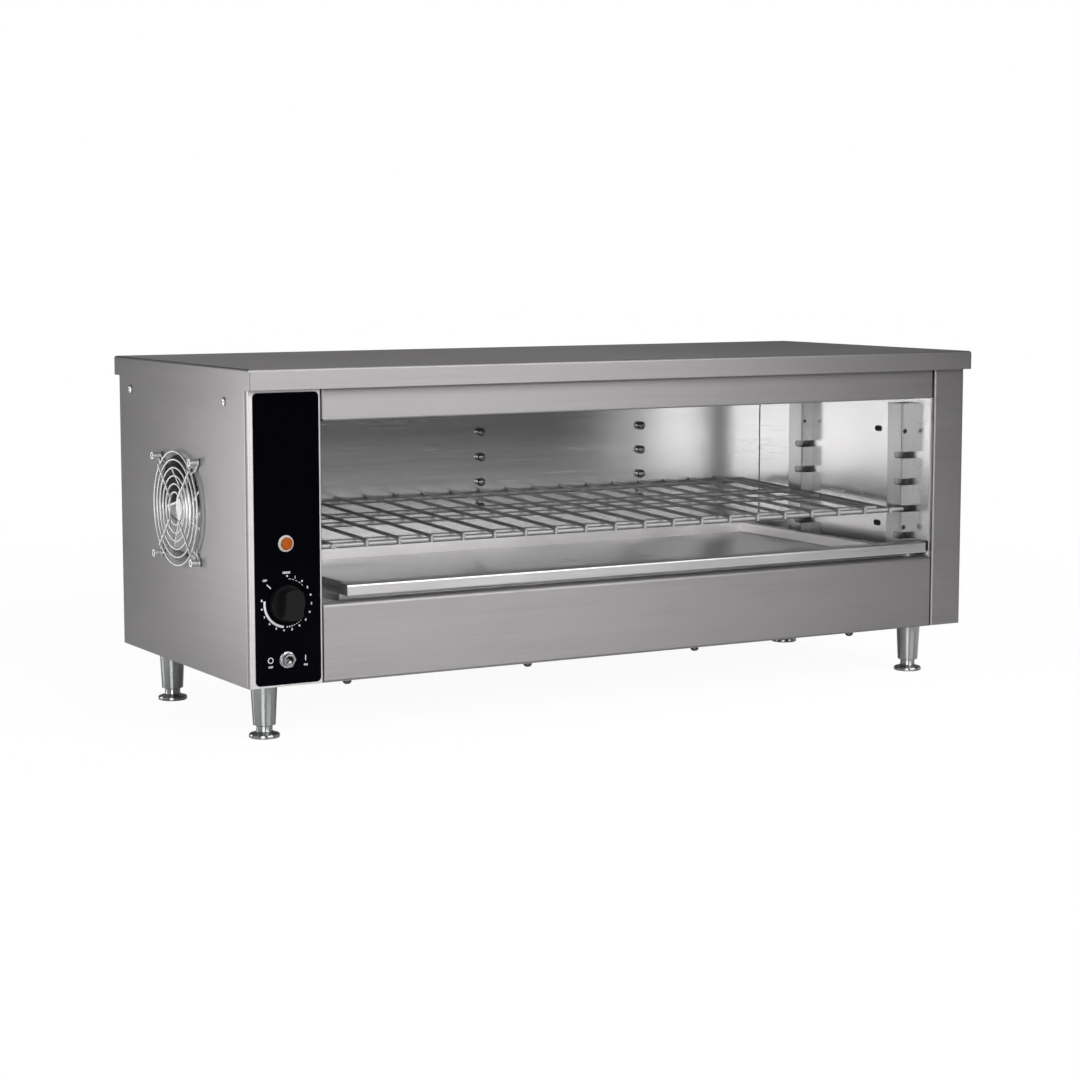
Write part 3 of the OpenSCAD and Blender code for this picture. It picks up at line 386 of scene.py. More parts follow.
def smudge_group():
    """Handling marks: soft blotches broken by finer ones, from 0 to 1."""
    group, given, result = new_group("handling_marks", {"Amount": 1.0, "Size": 14.0}, ("Mask",))
    where = coordinates(group)
    large = group.nodes.new("ShaderNodeTexNoise")
    small = group.nodes.new("ShaderNodeTexNoise")
    for node, factor, detail in ((large, 1.0, 4.0), (small, 6.0, 3.0)):
        group.links.new(where, node.inputs["Vector"])
        group.links.new(times(group, given.outputs["Size"], factor), node.inputs["Scale"])
        node.inputs["Detail"].default_value = detail
    blotch = times(group, minus(group, large.outputs["Fac"], 0.52), 6.0, clamp=True)
    broken = times(group, blotch, small.outputs["Fac"])
    group.links.new(times(group, broken, given.outputs["Amount"]), result.inputs["Mask"])
    return group


def grain_group():
    """Moulded or cast skin: small rounded bumps with a slow change of tone."""
    inputs = {"Scale": 900.0, "Contrast": 1.0}
    group, given, result = new_group("moulded_grain", inputs, ("Tone", "Height"))
    bumps = group.nodes.new("ShaderNodeTexVoronoi")
    bumps.feature = "SMOOTH_F1"
    group.links.new(coordinates(group), bumps.inputs["Vector"])
    group.links.new(given.outputs["Scale"], bumps.inputs["Scale"])
    slow = noise_node(group, 40.0)
    tone = times(group, centred(group, slow, 0.5), given.outputs["Contrast"])
    group.links.new(plus(group, tone, 1.0), result.inputs["Tone"])
    group.links.new(bumps.outputs["Distance"], result.inputs["Height"])
    return group


BRUSHED = brushed_group()
SMUDGES = smudge_group()
GRAIN = grain_group()


# ---------------------------------------------------------------- materials


def start_material(name):
    """New material with its node tree and its Principled shader."""
    material = bpy.data.materials.new(name)
    material.use_nodes = True
    return material, material.node_tree, material.node_tree.nodes["Principled BSDF"]


def set_values(shader, **values):
    """Sets the shader's own sockets. An underscore in a name stands for a space."""
    for label, value in values.items():
        shader.inputs[label.replace("_", " ")].default_value = value


def feed(tree, shader, color, rough):
    """Links a colour and a roughness that change over the surface."""
    tree.links.new(color, shader.inputs["Base Color"])
    tree.links.new(rough, shader.inputs["Roughness"])


def bump(tree, shader, height, strength, distance):
    """Links a height to the shader's normal."""
    node = tree.nodes.new("ShaderNodeBump")
    node.inputs["Strength"].default_value = strength
    node.inputs["Distance"].default_value = distance
    tree.links.new(height, node.inputs["Height"])
    tree.links.new(node.outputs["Normal"], shader.inputs["Normal"])


def steady_tangent(tree, shader, y, z):
    """Gives the shader a tangent that is the same all over the piece."""
    node = tree.nodes.new("ShaderNodeCombineXYZ")
    node.inputs["Y"].default_value = y
    node.inputs["Z"].default_value = z
    tree.links.new(node.outputs[0], shader.inputs["Tangent"])


def sheet_steel(
    name, color, rough, contrast, cloud, brushed=0.5, marks=0.06, scratch=1.0, seams=False, front=1.0
):
    """Brushed stainless sheet, with handling marks that dull it a little.

    Faces that look to the front get painted light or shade: their colour is front times as bright as the
    others'."""
    material, tree, shader = start_material(name)
    sheet = place_group(tree, BRUSHED, Contrast=contrast, Cloud=cloud, Scratch=scratch)
    dull = place_group(tree, SMUDGES, Amount=marks, Size=9.0).outputs["Mask"]
    set_values(shader, Metallic=1.0, Anisotropic=brushed)
    tone = minus(tree, sheet.outputs["Tone"], times(tree, dull, 0.5))
    if seams:
        tone = times(tree, tone, seam_mask(tree))
    # painted light or shade on the faces that look to the front
    if front != 1.0:
        tone = times(tree, tone, painted_front_light(tree, front))
    rough = plus(tree, plus(tree, sheet.outputs["Rough"], rough), dull)
    feed(tree, shader, scaled(tree, color, tone), rough)
    steady_tangent(tree, shader, 0.05, 1.0)
    bump(tree, shader, sheet.outputs["Height"], 0.10, 0.0004)
    return material


SEAM_IN, SEAM_HALF, SEAM_TOP, SEAM_DARK = 1.6 * MM, 0.6 * MM, 379.5 * MM, 0.75


def seam_mask(tree):
    """Dark hairline where the cover's skirts meet at its corners, under its top face.

    It is 1 - SEAM_DARK on the seam and 1 from SEAM_HALF beside it."""
    place = parted(tree, coordinates(tree))
    from_middle = math_node(tree, "ABSOLUTE", minus(tree, place["X"], ROW[0] * MM))
    off = math_node(tree, "ABSOLUTE", minus(tree, from_middle, COVER_HALF * MM - SEAM_IN))
    line = minus(tree, 1.0, math_node(tree, "DIVIDE", off, SEAM_HALF, clamp=True))
    below = math_node(tree, "LESS_THAN", place["Z"], SEAM_TOP)
    return minus(tree, 1.0, times(tree, times(tree, line, below), SEAM_DARK))


def painted_front_light(tree, gain):
    """Painted light or shade by facing: 1 on faces that look sideways, changing to the gain where a face
    looks to the front.
    """
    turn = times(tree, facing(tree)["Y"], -1.4, clamp=True)
    return plus(tree, times(tree, turn, gain - 1), 1.0)


def bright_metal(name, color, rough, marks=0.05, grain=0.0):
    """Plated or turned metal: smooth, with faint handling marks and a trace of tool lines."""
    material, tree, shader = start_material(name)
    set_values(shader, Metallic=1.0)
    dull = place_group(tree, SMUDGES, Amount=marks, Size=60.0).outputs["Mask"]
    fine = noise_node(tree, 700.0, detail=2.0)
    tone = plus(tree, minus(tree, 1.0, dull), centred(tree, fine, 0.12))
    rough = plus(tree, plus(tree, dull, rough), centred(tree, fine, 0.10))
    feed(tree, shader, scaled(tree, color, tone), rough)
    bump(tree, shader, fine, 0.08 + grain, 0.0002)
    return material


def turned_chrome(name, color, rough):
    """Plated metal turned about an upright axis: fine level rings, so highlights stretch upwards."""
    material, tree, shader = start_material(name)
    set_values(shader, Metallic=1.0, Anisotropic=1.0)
    rings = noise_node(tree, 1200.0, (0.02, 0.02, 1), 3.0, 0.7)
    dull = place_group(tree, SMUDGES, Amount=0.05, Size=50.0).outputs["Mask"]
    tone = minus(tree, plus(tree, centred(tree, rings, 0.1), 1.0), dull)
    rough = plus(tree, plus(tree, centred(tree, rings, 0.04), rough), dull)
    feed(tree, shader, scaled(tree, color, tone), rough)
    steady_tangent(tree, shader, 0.0, 1.0)
    bump(tree, shader, rings, 0.02, 0.0002)
    return material


def spun_metal(name, color, rough, centre):
    """Metal with turning marks in circles about an axis along X through the centre.

    The tangent points away from that axis, so a highlight stretches across the circles."""
    material, tree, shader = start_material(name)
    set_values(shader, Metallic=1.0, Anisotropic=0.85)
    away = vector_node(tree, "SUBTRACT", coordinates(tree), (np.array(centre) + ROW) * MM)
    away = vector_node(tree, "MULTIPLY", away, (0, 1, 1))
    tree.links.new(away, shader.inputs["Tangent"])
    rings = tree.nodes.new("ShaderNodeTexNoise")
    rings.noise_dimensions = "1D"
    rings.inputs["Scale"].default_value = 1400.0
    rings.inputs["Detail"].default_value = 3.0
    tree.links.new(vector_node(tree, "LENGTH", away), rings.inputs["W"])
    marks = rings.outputs["Fac"]
    tone = plus(tree, centred(tree, marks, 0.5), 1.0)
    rough = plus(tree, centred(tree, marks, 0.2), rough)
    feed(tree, shader, scaled(tree, color, tone), rough)
    bump(tree, shader, marks, 0.12, 0.0002)
    return material


def plastic(name, color, rough, scale=900.0, contrast=0.3, relief=0.1, coat=0.0, marks=0.1, gloss=0.5):
    """Moulded plastic, rubber or ceramic with a fine skin."""
    material, tree, shader = start_material(name)
    set_values(shader, Specular_IOR_Level=gloss, Coat_Weight=coat, Coat_Roughness=0.06)
    skin = place_group(tree, GRAIN, Scale=scale, Contrast=contrast)
    dull = place_group(tree, SMUDGES, Amount=marks, Size=45.0).outputs["Mask"]
    feed(tree, shader, scaled(tree, color, skin.outputs["Tone"]), plus(tree, dull, rough))
    bump(tree, shader, skin.outputs["Height"], relief, 0.0002)
    return material


def wool(name, color):
    """Mineral blanket: tangled fibres with shot streaks and a soft, broken surface."""
    material, tree, shader = start_material(name)
    set_values(shader, Sheen_Weight=0.3)
    fibres = noise_node(tree, 420.0, (1, 0.2, 1), 6.0, 0.75)
    cross = noise_node(tree, 420.0, (0.2, 1, 1), 6.0, 0.75, (2, 1, 0))
    height = plus(tree, fibres, cross)
    tone = plus(tree, times(tree, height, 0.5), 0.45)
    feed(tree, shader, scaled(tree, color, tone), plus(tree, centred(tree, fibres, 0.2), 0.9))
    bump(tree, shader, height, 0.7, 0.002)
    return material


def heater_metal(name, color):
    """Oxidised heater sheath: straw and blue-grey heat colours in patches along the tube."""
    material, tree, shader = start_material(name)
    set_values(shader, Metallic=0.85)
    patch = noise_node(tree, 9.0, rough=0.5)
    fine = noise_node(tree, 500.0, (0.1, 1, 1))
    ramp = tree.nodes.new("ShaderNodeValToRGB")
    first, last = ramp.color_ramp.elements
    first.position, first.color = 0.35, (*color, 1)
    last.position, last.color = 0.7, (0.24, 0.17, 0.11, 1)
    ramp.color_ramp.elements.new(0.52).color = (0.13, 0.14, 0.18, 1)
    tree.links.new(patch, ramp.inputs[0])
    tone = plus(tree, centred(tree, fine, 0.4), 1.0)
    rough = plus(tree, centred(tree, fine, 0.2), 0.5)
    feed(tree, shader, scaled(tree, ramp.outputs[0], tone), rough)
    bump(tree, shader, fine, 0.2, 0.0003)
    return material


def amber_lens(name, color):
    """Translucent amber plastic, lit from inside only by what falls on it."""
    material, tree, shader = start_material(name)
    set_values(
        shader,
        Subsurface_Weight=0.25,
        Subsurface_Radius=(0.004, 0.0012, 0.0004),
        Subsurface_Scale=1.0,
        Specular_IOR_Level=0.25,
    )
    cloudy = noise_node(tree, 300.0, detail=2.0, rough=0.5)
    tone = plus(tree, centred(tree, cloudy, 0.3), 1.0)
    feed(tree, shader, scaled(tree, color, tone), plus(tree, centred(tree, cloudy, 0.1), 0.28))
    return material


CASING = {"color": (0.42, 0.405, 0.41), "rough": 0.42, "contrast": 1.0, "brushed": 0.8}
STEEL = sheet_steel("panel_steel", cloud=1.0, **CASING)
COVER_STEEL = sheet_steel("cover_steel", cloud=0.8, seams=True, **CASING)
# front=1.75 paints the faces that look to the front lighter: painted light
COLUMN_STEEL = sheet_steel("column_steel", cloud=1.0, front=1.75, **CASING)
CAVITY_STEEL = sheet_steel(
    "cavity_steel", (0.70, 0.695, 0.695), 0.25, contrast=0.3, cloud=0.7, brushed=0.2, marks=0.0, scratch=0.01
)
# front=0.6 paints the uprights' front faces darker: painted shade
UPRIGHT_STEEL = sheet_steel(
    "upright_steel",
    (0.53, 0.525, 0.53),
    0.32,
    contrast=0.3,
    cloud=1.0,
    brushed=0.2,
    marks=0.02,
    scratch=0.04,
    front=0.6,
)
# front=1.4 paints the tray's front faces lighter: painted light
TRAY_STEEL = sheet_steel(
    "tray_steel",
    (0.60, 0.59, 0.59),
    0.30,
    contrast=0.5,
    cloud=1.2,
    brushed=0.6,
    marks=0.12,
    scratch=0.3,
    front=1.4,
)

WIRE_CHROME = bright_metal("wire_chrome", (0.58, 0.575, 0.58), 0.58, marks=0.10)
GUARD_WIRE = bright_metal("guard_wire", (0.93, 0.93, 0.94), 0.44, marks=0.04)
FITTING_CHROME = bright_metal("fitting_chrome", (0.70, 0.71, 0.71), 0.27)
LEG_CHROME = turned_chrome("leg_chrome", (0.58, 0.595, 0.60), 0.24)
SCREW_STEEL = bright_metal("screw_steel", (0.55, 0.55, 0.56), 0.28, marks=0.08)
SCREW_DARK = bright_metal("screw_dark", (0.13, 0.13, 0.135), 0.30, marks=0.08)
PEG_STEEL = bright_metal("peg_steel", (0.26, 0.26, 0.265), 0.16, marks=0.08)
FAN_ALLOY = bright_metal("fan_alloy", (0.80, 0.81, 0.81), 0.38, marks=0.10, grain=0.1)
SPUN_ALLOY = spun_metal("spun_alloy", (0.82, 0.83, 0.83), 0.36, (LEFT, *FAN_CENTRE))
DISC_ALLOY = bright_metal("disc_alloy", (0.72, 0.72, 0.71), 0.32)
SHEATH = heater_metal("heater_sheath", (0.16, 0.15, 0.145))

LABEL_BLACK = plastic(
    "label_black", (0.0012, 0.0014, 0.0030), 0.16, 1500.0, contrast=0.2, relief=0.03, marks=0.05, gloss=0.03
)
KNOB_BLACK = plastic("knob_black", (0.010, 0.010, 0.0105), 0.36, 1100.0, contrast=0.4, relief=0.12, gloss=0.2)
BEZEL_WHITE = plastic("bezel_white", (0.94, 0.93, 0.92), 0.22, 1200.0, contrast=0.1, relief=0.03, coat=0.4)
INK_WHITE = plastic("ink_white", (0.95, 0.95, 0.95), 0.45, 2000.0, contrast=0.1, relief=0.03)
AMBER = amber_lens("lens_amber", (0.50, 0.105, 0.002))
PORCELAIN = plastic("porcelain", (0.80, 0.78, 0.72), 0.25, 500.0, relief=0.06, coat=0.5)
MOULDED_BLACK = plastic("moulded_black", (0.035, 0.035, 0.038), 0.45, 800.0, contrast=0.4, relief=0.15)
MOULDED_CREAM = plastic("moulded_cream", (0.66, 0.60, 0.47), 0.42, 800.0, relief=0.12)
LEAD_RED = plastic("lead_red", (0.38, 0.05, 0.035), 0.5, 1200.0)
BUSH_RUBBER = plastic("bush_rubber", (0.025, 0.025, 0.025), 0.62, 700.0, contrast=0.5, relief=0.2)
WOOL = wool("mineral_wool", (0.62, 0.55, 0.40))
# Near-black wool for the side insulation: painted shade seen through the wall holes
WOOL_PAINTED_SHADE = wool("wool_painted_shade", (0.022, 0.022, 0.021))

SLOT_MATERIAL = {
    "stainless_panel": STEEL,
    "stainless_cavity": CAVITY_STEEL,
    "chrome_wire": WIRE_CHROME,
    "chrome_leg": FITTING_CHROME,
    "fastener_steel": SCREW_STEEL,
    "overlay_black": LABEL_BLACK,
    "knob_black": KNOB_BLACK,
    "bezel_white": BEZEL_WHITE,
    "lens_amber": AMBER,
    "heater_sheath": SHEATH,
    "porcelain": PORCELAIN,
    "mineral_wool": WOOL,
    "moulded_black": MOULDED_BLACK,
    "moulded_cream": MOULDED_CREAM,
    "fan_alloy": FAN_ALLOY,
    "disc_alloy": DISC_ALLOY,
    "lead_red": LEAD_RED,
    "bush_rubber": BUSH_RUBBER,
}
NODE_MATERIAL = {
    "top_cover": COVER_STEEL,
    "left_side_panel": COLUMN_STEEL,
    "crumb_tray": TRAY_STEEL,
    "rear_panel": CAVITY_STEEL,
    "leg_sleeves": LEG_CHROME,
    "fan_rotor": SPUN_ALLOY,
    "fan_guard": GUARD_WIRE,
    "fan_nuts": GUARD_WIRE,
    # side insulation in near-black wool: painted shade behind the hook holes
    "side_insulation": WOOL_PAINTED_SHADE,
    "front_left_upright": UPRIGHT_STEEL,
    "front_right_upright": UPRIGHT_STEEL,
    "rear_left_upright": UPRIGHT_STEEL,
    "rear_right_upright": UPRIGHT_STEEL,
}


def dress_nodes():
    """Gives each CAD node the material of its slot, or its own where it has one."""
    for row in frame["record"]["subparts"]:
        name = row["node"]
        mesh = NODES[name].data
        mesh.materials.clear()
        mesh.materials.append(NODE_MATERIAL.get(name) or SLOT_MATERIAL[row["material_slot"]])


dress_nodes()


# ---------------------------------------------------------------- fasteners


def screw_set(name, node, places, axis, head, material=SCREW_STEEL):
    """Replaces a node's plain screws with ones that have a domed head and a cross recess."""
    parts = []
    for place, direction in zip(places, axis):
        parts.append((aim(cross_recess_head(**head), place, direction), False, True))
    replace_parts(piece(name, parts, material), node)


def side_screws():
    """Two screws high on each side, which look outwards."""
    places, axes = [], []
    for side, x in ((-1, LEFT), (1, -LEFT)):
        for y in SIDE_SCREW_Y:
            places.append((x, y, SIDE_SCREW_Z))
            axes.append((side, 0, 0))
    head = {"radius": 4.5, "height": 1.6, "recess": 2.6, "depth": 1.0, "shank_r": 2.0, "shank_len": 7.8}
    screw_set("side_screw_heads", "side_screws", places, axes, head)


def underside_screws():
    """Four dark screws along the front edge of the underside and four along its rear edge."""
    places = [(float(x), side * UNDERSIDE_SCREW_Y, 0.0) for x in UNDERSIDE_SCREW_X for side in (1, -1)]
    axes = [(0, 0, -1)] * len(places)
    head = {"radius": 4.6, "height": 5.5, "recess": 2.6, "depth": 1.4, "shank_r": 2.0, "shank_len": 9.8}
    screw_set("underside_screw_heads", "underside_screws", places, axes, head, SCREW_DARK)


def rear_screws():
    """Four screws up each side of the rear panel."""
    places = [(side * REAR_SCREW_X, BACK, float(z)) for side in (-1, 1) for z in REAR_SCREW_Z]
    axes = [(0, 1, 0)] * len(places)
    head = {"radius": 4.0, "height": 2.2, "recess": 2.4, "depth": 1.2, "shank_r": 2.0, "shank_len": 7.8}
    screw_set("rear_screw_heads", "rear_screws", places, axes, head)


side_screws()
underside_screws()
rear_screws()


# ---------------------------------------------------------------- print on the black label


def stroke(points, width):
    """Raised line of ink along points of the label, given as (right, up) from the knob's axis.

    A rectangle of the given width is carried along the path. Its sides follow the path's
    normal, and the first and last points close it."""
    p = np.array(points, float)
    along = np.gradient(p, axis=0)
    along /= np.linalg.norm(along, axis=1)[:, None]
    side = np.stack([-along[:, 1], along[:, 0]], -1) * width / 2
    corners = np.stack([p + side, p - side, p - side, p + side], 1)
    corners = np.concatenate([p[:1, None].repeat(4, 1), corners, p[-1:, None].repeat(4, 1)])
    depth = np.array([0, 0, 1, 1]) * (INK_FRONT - INK_BACK) + INK_BACK
    depth = np.tile(depth, (len(corners), 1))
    depth[[0, -1]] = (INK_FRONT + INK_BACK) / 2
    return np.stack([PANEL_X + corners[..., 0], depth, KNOB_Z + corners[..., 1]], -1)


def arc(radius, start, end, steps=40):
    """Points round the knob's axis. Angles are in degrees clockwise from straight up."""
    a = np.radians(np.linspace(start, end, steps))
    return np.stack([radius * np.sin(a), radius * np.cos(a)], -1)


def spot(radius, angle):
    """One point round the knob's axis, as (right, up)."""
    return arc(radius, angle, angle, 1)[0]


def dot(place, radius):
    """Round dot of ink at (right, up): a low dome on the label."""
    dome = turned([(0, 0), (radius, 0), (radius, 0.06), (radius * 0.7, 0.1), (0, 0.11)], 16)
    return aim(dome, (PANEL_X + place[0], INK_BACK, KNOB_Z + place[1]), (0, -1, 0))


def lettering(word, height, right, up):
    """Corners and faces of a word or number on the label, centred at (right, up)."""
    data = bpy.data.curves.new("word", "FONT")
    data.body = word
    data.resolution_u = 3
    data.extrude = 0.1
    data.offset = 0.05
    maker = linked("word", data)
    drawn = bpy.data.meshes.new_from_object(maker.evaluated_get(bpy.context.evaluated_depsgraph_get()))
    points = np.array([v.co for v in drawn.vertices])
    faces = [list(f.vertices) for f in drawn.polygons]
    bpy.data.objects.remove(maker)
    bpy.data.curves.remove(data)
    bpy.data.meshes.remove(drawn)
    low, high = points.min(0), points.max(0)
    flat = (points - (low + high) / 2) * height / (high[1] - low[1])
    depth = np.where(points[:, 2] > 0, INK_FRONT, INK_BACK)
    return np.stack([PANEL_X + right + flat[:, 0], depth, KNOB_Z + up + flat[:, 1]], -1), faces


def heat_scale():
    """Inked shapes of the heat scale: a row of growing beads that runs into a solid band, short
    dashes past the top, and the tick at OFF."""
    beads = np.arange(SCALE_BEADS, SCALE_FULL - 4, 6.5)
    grids = [stroke(arc(SCALE_R, SCALE_FULL, SCALE_END), 2.4)]
    grids += [dot(spot(SCALE_R, a), 0.35 + 0.55 * k / len(beads)) for k, a in enumerate(beads)]
    grids += [stroke(arc(SCALE_R + 0.6, a, a + 5, 6), 0.5) for a in np.arange(6, 48, 9)]
    grids.append(stroke(arc(1.0, OFF_ANGLE, OFF_ANGLE, 2) * [[29.3], [23.4]], 1.1))
    return grids


def switch_marks():
    """Inked shapes beside the switch: a ring on the left and a bar on the right."""
    ring = arc(2.7, 0, 360, 33)[:-1] + [SWITCH_LEFT, SWITCH_UP + 0.4]
    ring = np.concatenate([ring, ring[:1]])
    bar = [(SWITCH_RIGHT, SWITCH_UP - 2.4), (SWITCH_RIGHT, SWITCH_UP + 3.4)]
    return [stroke(ring, 0.8), stroke(bar, 0.9)]


def panel_print():
    """White print: the heat scale round the knob, and the marks beside the switch.

    Round the knob, numbers and dots take turns."""
    grids = heat_scale() + switch_marks()
    words = [("HOLD", 2.4, 0.3, 31.2), ("OFF", 2.2, -23.6, 24.4)]
    words += [("OFF", 2.2, SWITCH_LEFT, SWITCH_UP - 6.4), ("ON", 2.2, SWITCH_RIGHT, SWITCH_UP - 6.4)]
    for k in range(MARK_COUNT):
        place = spot(MARK_R, 2 + MARK_STEP * k)
        if k % 2:
            words.append((str(k // 2 + 1), 2.6, *place))
        else:
            grids.append(dot(place, 0.95))
    points, faces, start = [], [], 0
    for grid in grids:
        points.append(grid.reshape(-1, 3))
        faces += (grid_faces(*grid.shape[:2], False, True) + start).tolist()
        start += len(points[-1])
    for word in words:
        corners, loops = lettering(*word)
        points.append(corners)
        faces += [[v + start for v in loop] for loop in loops]
        start += len(corners)
    mesh = bpy.data.meshes.new("panel_print")
    mesh.from_pydata(((np.concatenate(points) + ROW) * MM).tolist(), [], faces)
    finish_piece("panel_print", mesh, INK_WHITE, "cabinet", smooth=False)


panel_print()


# ---------------------------------------------------------------- controls


def hex_ring(flats, height, bore, chamfer, steps=96):
    """Hexagonal nut with a turned chamfer and a round bore.

    The outside's radius at angle a is flats / 2 / cos(a folded into a sixth of a turn). The
    chamfer is a cone: its height falls by 0.5 for each unit past the chamfer circle."""
    a = np.linspace(0, TAU, steps, endpoint=False)
    folded = (a % (TAU / 6)) - TAU / 12
    hexagon = flats / 2 / np.cos(folded)
    top = height - 0.5 * np.maximum(hexagon - chamfer, 0)
    rows = [(bore, 0), (hexagon - 0.15, 0), (hexagon, 0.15), (hexagon, top)]
    rows += [(np.minimum(hexagon, chamfer), height), (bore + 0.5, height), (bore, height - 0.5)]
    r = np.stack([0 * a + row[0] for row in rows])
    h = np.stack([0 * a + row[1] for row in rows])
    return np.stack([r * np.cos(a), r * np.sin(a), h], -1)


def thread_profile(radius, depth, pitch, start, end):
    """Zigzag (radius, height) points of ring-shaped thread grooves from start to end."""
    h = np.arange(start, end, pitch / 2)
    r = radius - depth * (np.arange(len(h)) % 2)
    return np.stack([r, h], -1).tolist()


def switch_fittings():
    """Dress nut with its washer, and the toggle switch's threaded bush."""
    place, out = (PANEL_X, OVERLAY_FACE, SWITCH_Z), (0, -1, 0)
    washer = turned([(5.97, 0.0), (8.3, 0.0), (8.5, 0.2), (8.3, 0.45), (5.97, 0.45)], 64)
    nut = hex_ring(flats=15.2, height=2.5, bore=5.97, chamfer=7.7)
    nut[..., 2] += 0.45
    parts = [(aim(washer, place, out), True, True), (aim(nut, place, out), True, True)]
    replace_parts(piece("switch_dress_nut", parts, FITTING_CHROME), "switch_nut")
    thread = thread_profile(radius=6.0, depth=0.22, pitch=0.7, start=2.9, end=5.6)
    bush = turned([(4.65, 2.9)] + thread + [(5.75, 5.95), (5.4, 6.06), (4.65, 6.06)], 64)
    piece("switch_bush", [(aim(bush, place, out), True, True)], FITTING_CHROME)


def lamp_lens():
    """Amber lens: a low dome on a short round wall, with round ribs about its middle.

    The dome's height is 2.4 + 2.3 * sqrt(1 - (r / 6.58)^2), lowered between the ribs by a
    cosine of r."""
    r = np.linspace(0, 6.55, 66)
    h = 2.4 + 2.3 * np.sqrt(1 - (r / 6.58) ** 2) - 0.11 * (1 - np.cos(TAU * r / 1.15)) * (r < 5.8)
    wall = [(6.58, 2.4), (6.58, 0.62), (5.15, 0.62), (5.15, -6.0), (0, -6.0)]
    dome = turned(np.stack([r, h], -1).tolist() + wall, 64)
    dome = aim(dome, (PANEL_X, OVERLAY_FACE, LAMP_Z), (0, -1, 0))
    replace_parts(piece("lamp_ribbed_lens", [(dome, False, True)], AMBER), "lamp_lens")


switch_fittings()
lamp_lens()


# ---------------------------------------------------------------- fan, rack, cavity and feet


def fan_hub_cap():
    """Spun cap on the fan's hub: shallow rings about a raised middle.

    Its height is 1.1 + 0.5 cos(half a turn out to the rim), with a ripple every 2.4 mm."""
    r = np.linspace(0, 21.6, 60)
    h = 1.1 + 0.5 * np.cos(TAU * r / 43.2) + 0.10 * np.cos(TAU * r / 2.4) * (r > 4)
    rim = [(21.8, 0.3), (21.8, -0.2), (0, -0.2)]
    cap = turned(np.stack([r, h], -1).tolist() + rim, 96)
    cap = aim(cap, (HUB_FACE, *FAN_CENTRE), (-1, 0, 0))
    piece("fan_hub_cap", [(cap, False, True)], SPUN_ALLOY, "fan")


def bead(length, width, height):
    """Weld bead: an ellipsoid of a few dozen faces."""
    t = np.linspace(0, math.pi, 6)
    ball = turned(np.stack([np.sin(t), -np.cos(t)], -1), 8)
    return ball * [length, width, height]


def rack_welds():
    """Beads where the rack's wires cross its rails. They lie on the rack's slope."""
    slope = math.asin(RACK_RISE / RACK_DEPTH)
    parts = []
    for share in RACK_RAILS:
        along = share * RACK_DEPTH
        y = along * math.cos(slope) - WELD_LIFT * math.sin(slope)
        z = along * math.sin(slope) + WELD_LIFT * math.cos(slope)
        for k in range(1, RACK_WIRES - 1):
            x = RACK_LEFT + k * (RACK_RIGHT - RACK_LEFT) / (RACK_WIRES - 1)
            parts.append((bead(2.3, 2.3, 1.2) + [x, RACK_FRONT + y, RACK_Z + z], False, True))
    piece("rack_welds", parts, WIRE_CHROME, "rack")


def peg_studs():
    """Round-headed studs on the back wall: a dome on a short barrel, riveted through the wall.

    The dome's radius follows a quarter of an ellipse from the barrel out to the tip."""
    a = np.linspace(0, TAU / 4, 14)
    dome = np.stack([PEG_R * np.sin(a), PEG_BARREL + (PEG_LENGTH - PEG_BARREL) * np.cos(a)], -1)
    seat = [(PEG_R, 0.4), (PEG_R - 0.4, 0), (2.5, 0)]
    rivet = [(2.5, -0.9), (4.0, -0.9), (3.4, -2.3), (0, -2.4)]
    stud = turned(dome.tolist() + seat + rivet, 32)
    parts = []
    for column in (-1, 0, 1):
        for row in range(4):
            place = (column * PEG_COLUMN, CAVITY_BACK, PEG_Z + row * PEG_PITCH)
            parts.append((aim(stud, place, (0, -1, 0)), False, True))
    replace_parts(piece("rack_peg_studs", parts, PEG_STEEL), "rack_pegs")


def shade_rim(straight, radius, half_width, steps=48):
    """Rim of painted shade round a hole: a small ellipse carried round a circle that is parted by a straight
    run.

    At angle a the rim's middle is (radius cos a + straight on the right or - straight on the
    left, radius sin a). The rim lies in the first two axes and rises along the third."""
    a = (np.arange(steps) + 0.5)[:, None] * TAU / steps
    t = np.linspace(0, TAU, 12, endpoint=False)[None]
    reach = radius + half_width * np.cos(t)
    side = np.where(np.cos(a) > 0, straight, -straight)
    return np.stack([reach * np.cos(a) + side, reach * np.sin(a), 0.5 * np.sin(t) + 0 * a], -1)


def hook_hole_painted_shade():
    """Black rims of painted shade in the cavity walls' hook holes and in the small holes of the front
    uprights.
    """
    oval = shade_rim(straight=3.4, radius=2.4, half_width=1.1)[..., [2, 0, 1]]
    ring = shade_rim(straight=0, radius=2.1, half_width=0.8)[..., [0, 2, 1]]
    parts = []
    for z in HOOK_HOLE_Z:
        for wall, inwards in ((WALL_LEFT, 1), (WALL_RIGHT, -1)):
            hole_x = wall + inwards * (UPRIGHT_DEPTH - 4.2)
            parts.append((oval + [wall, HOOK_HOLE_Y, z], True, True))
            parts.append((ring + [hole_x, UPRIGHT_FRONT, z + 1], True, True))
    # the black rims stand for the shade inside the holes: painted shade
    piece("hook_hole_painted_shade", parts, MOULDED_BLACK)


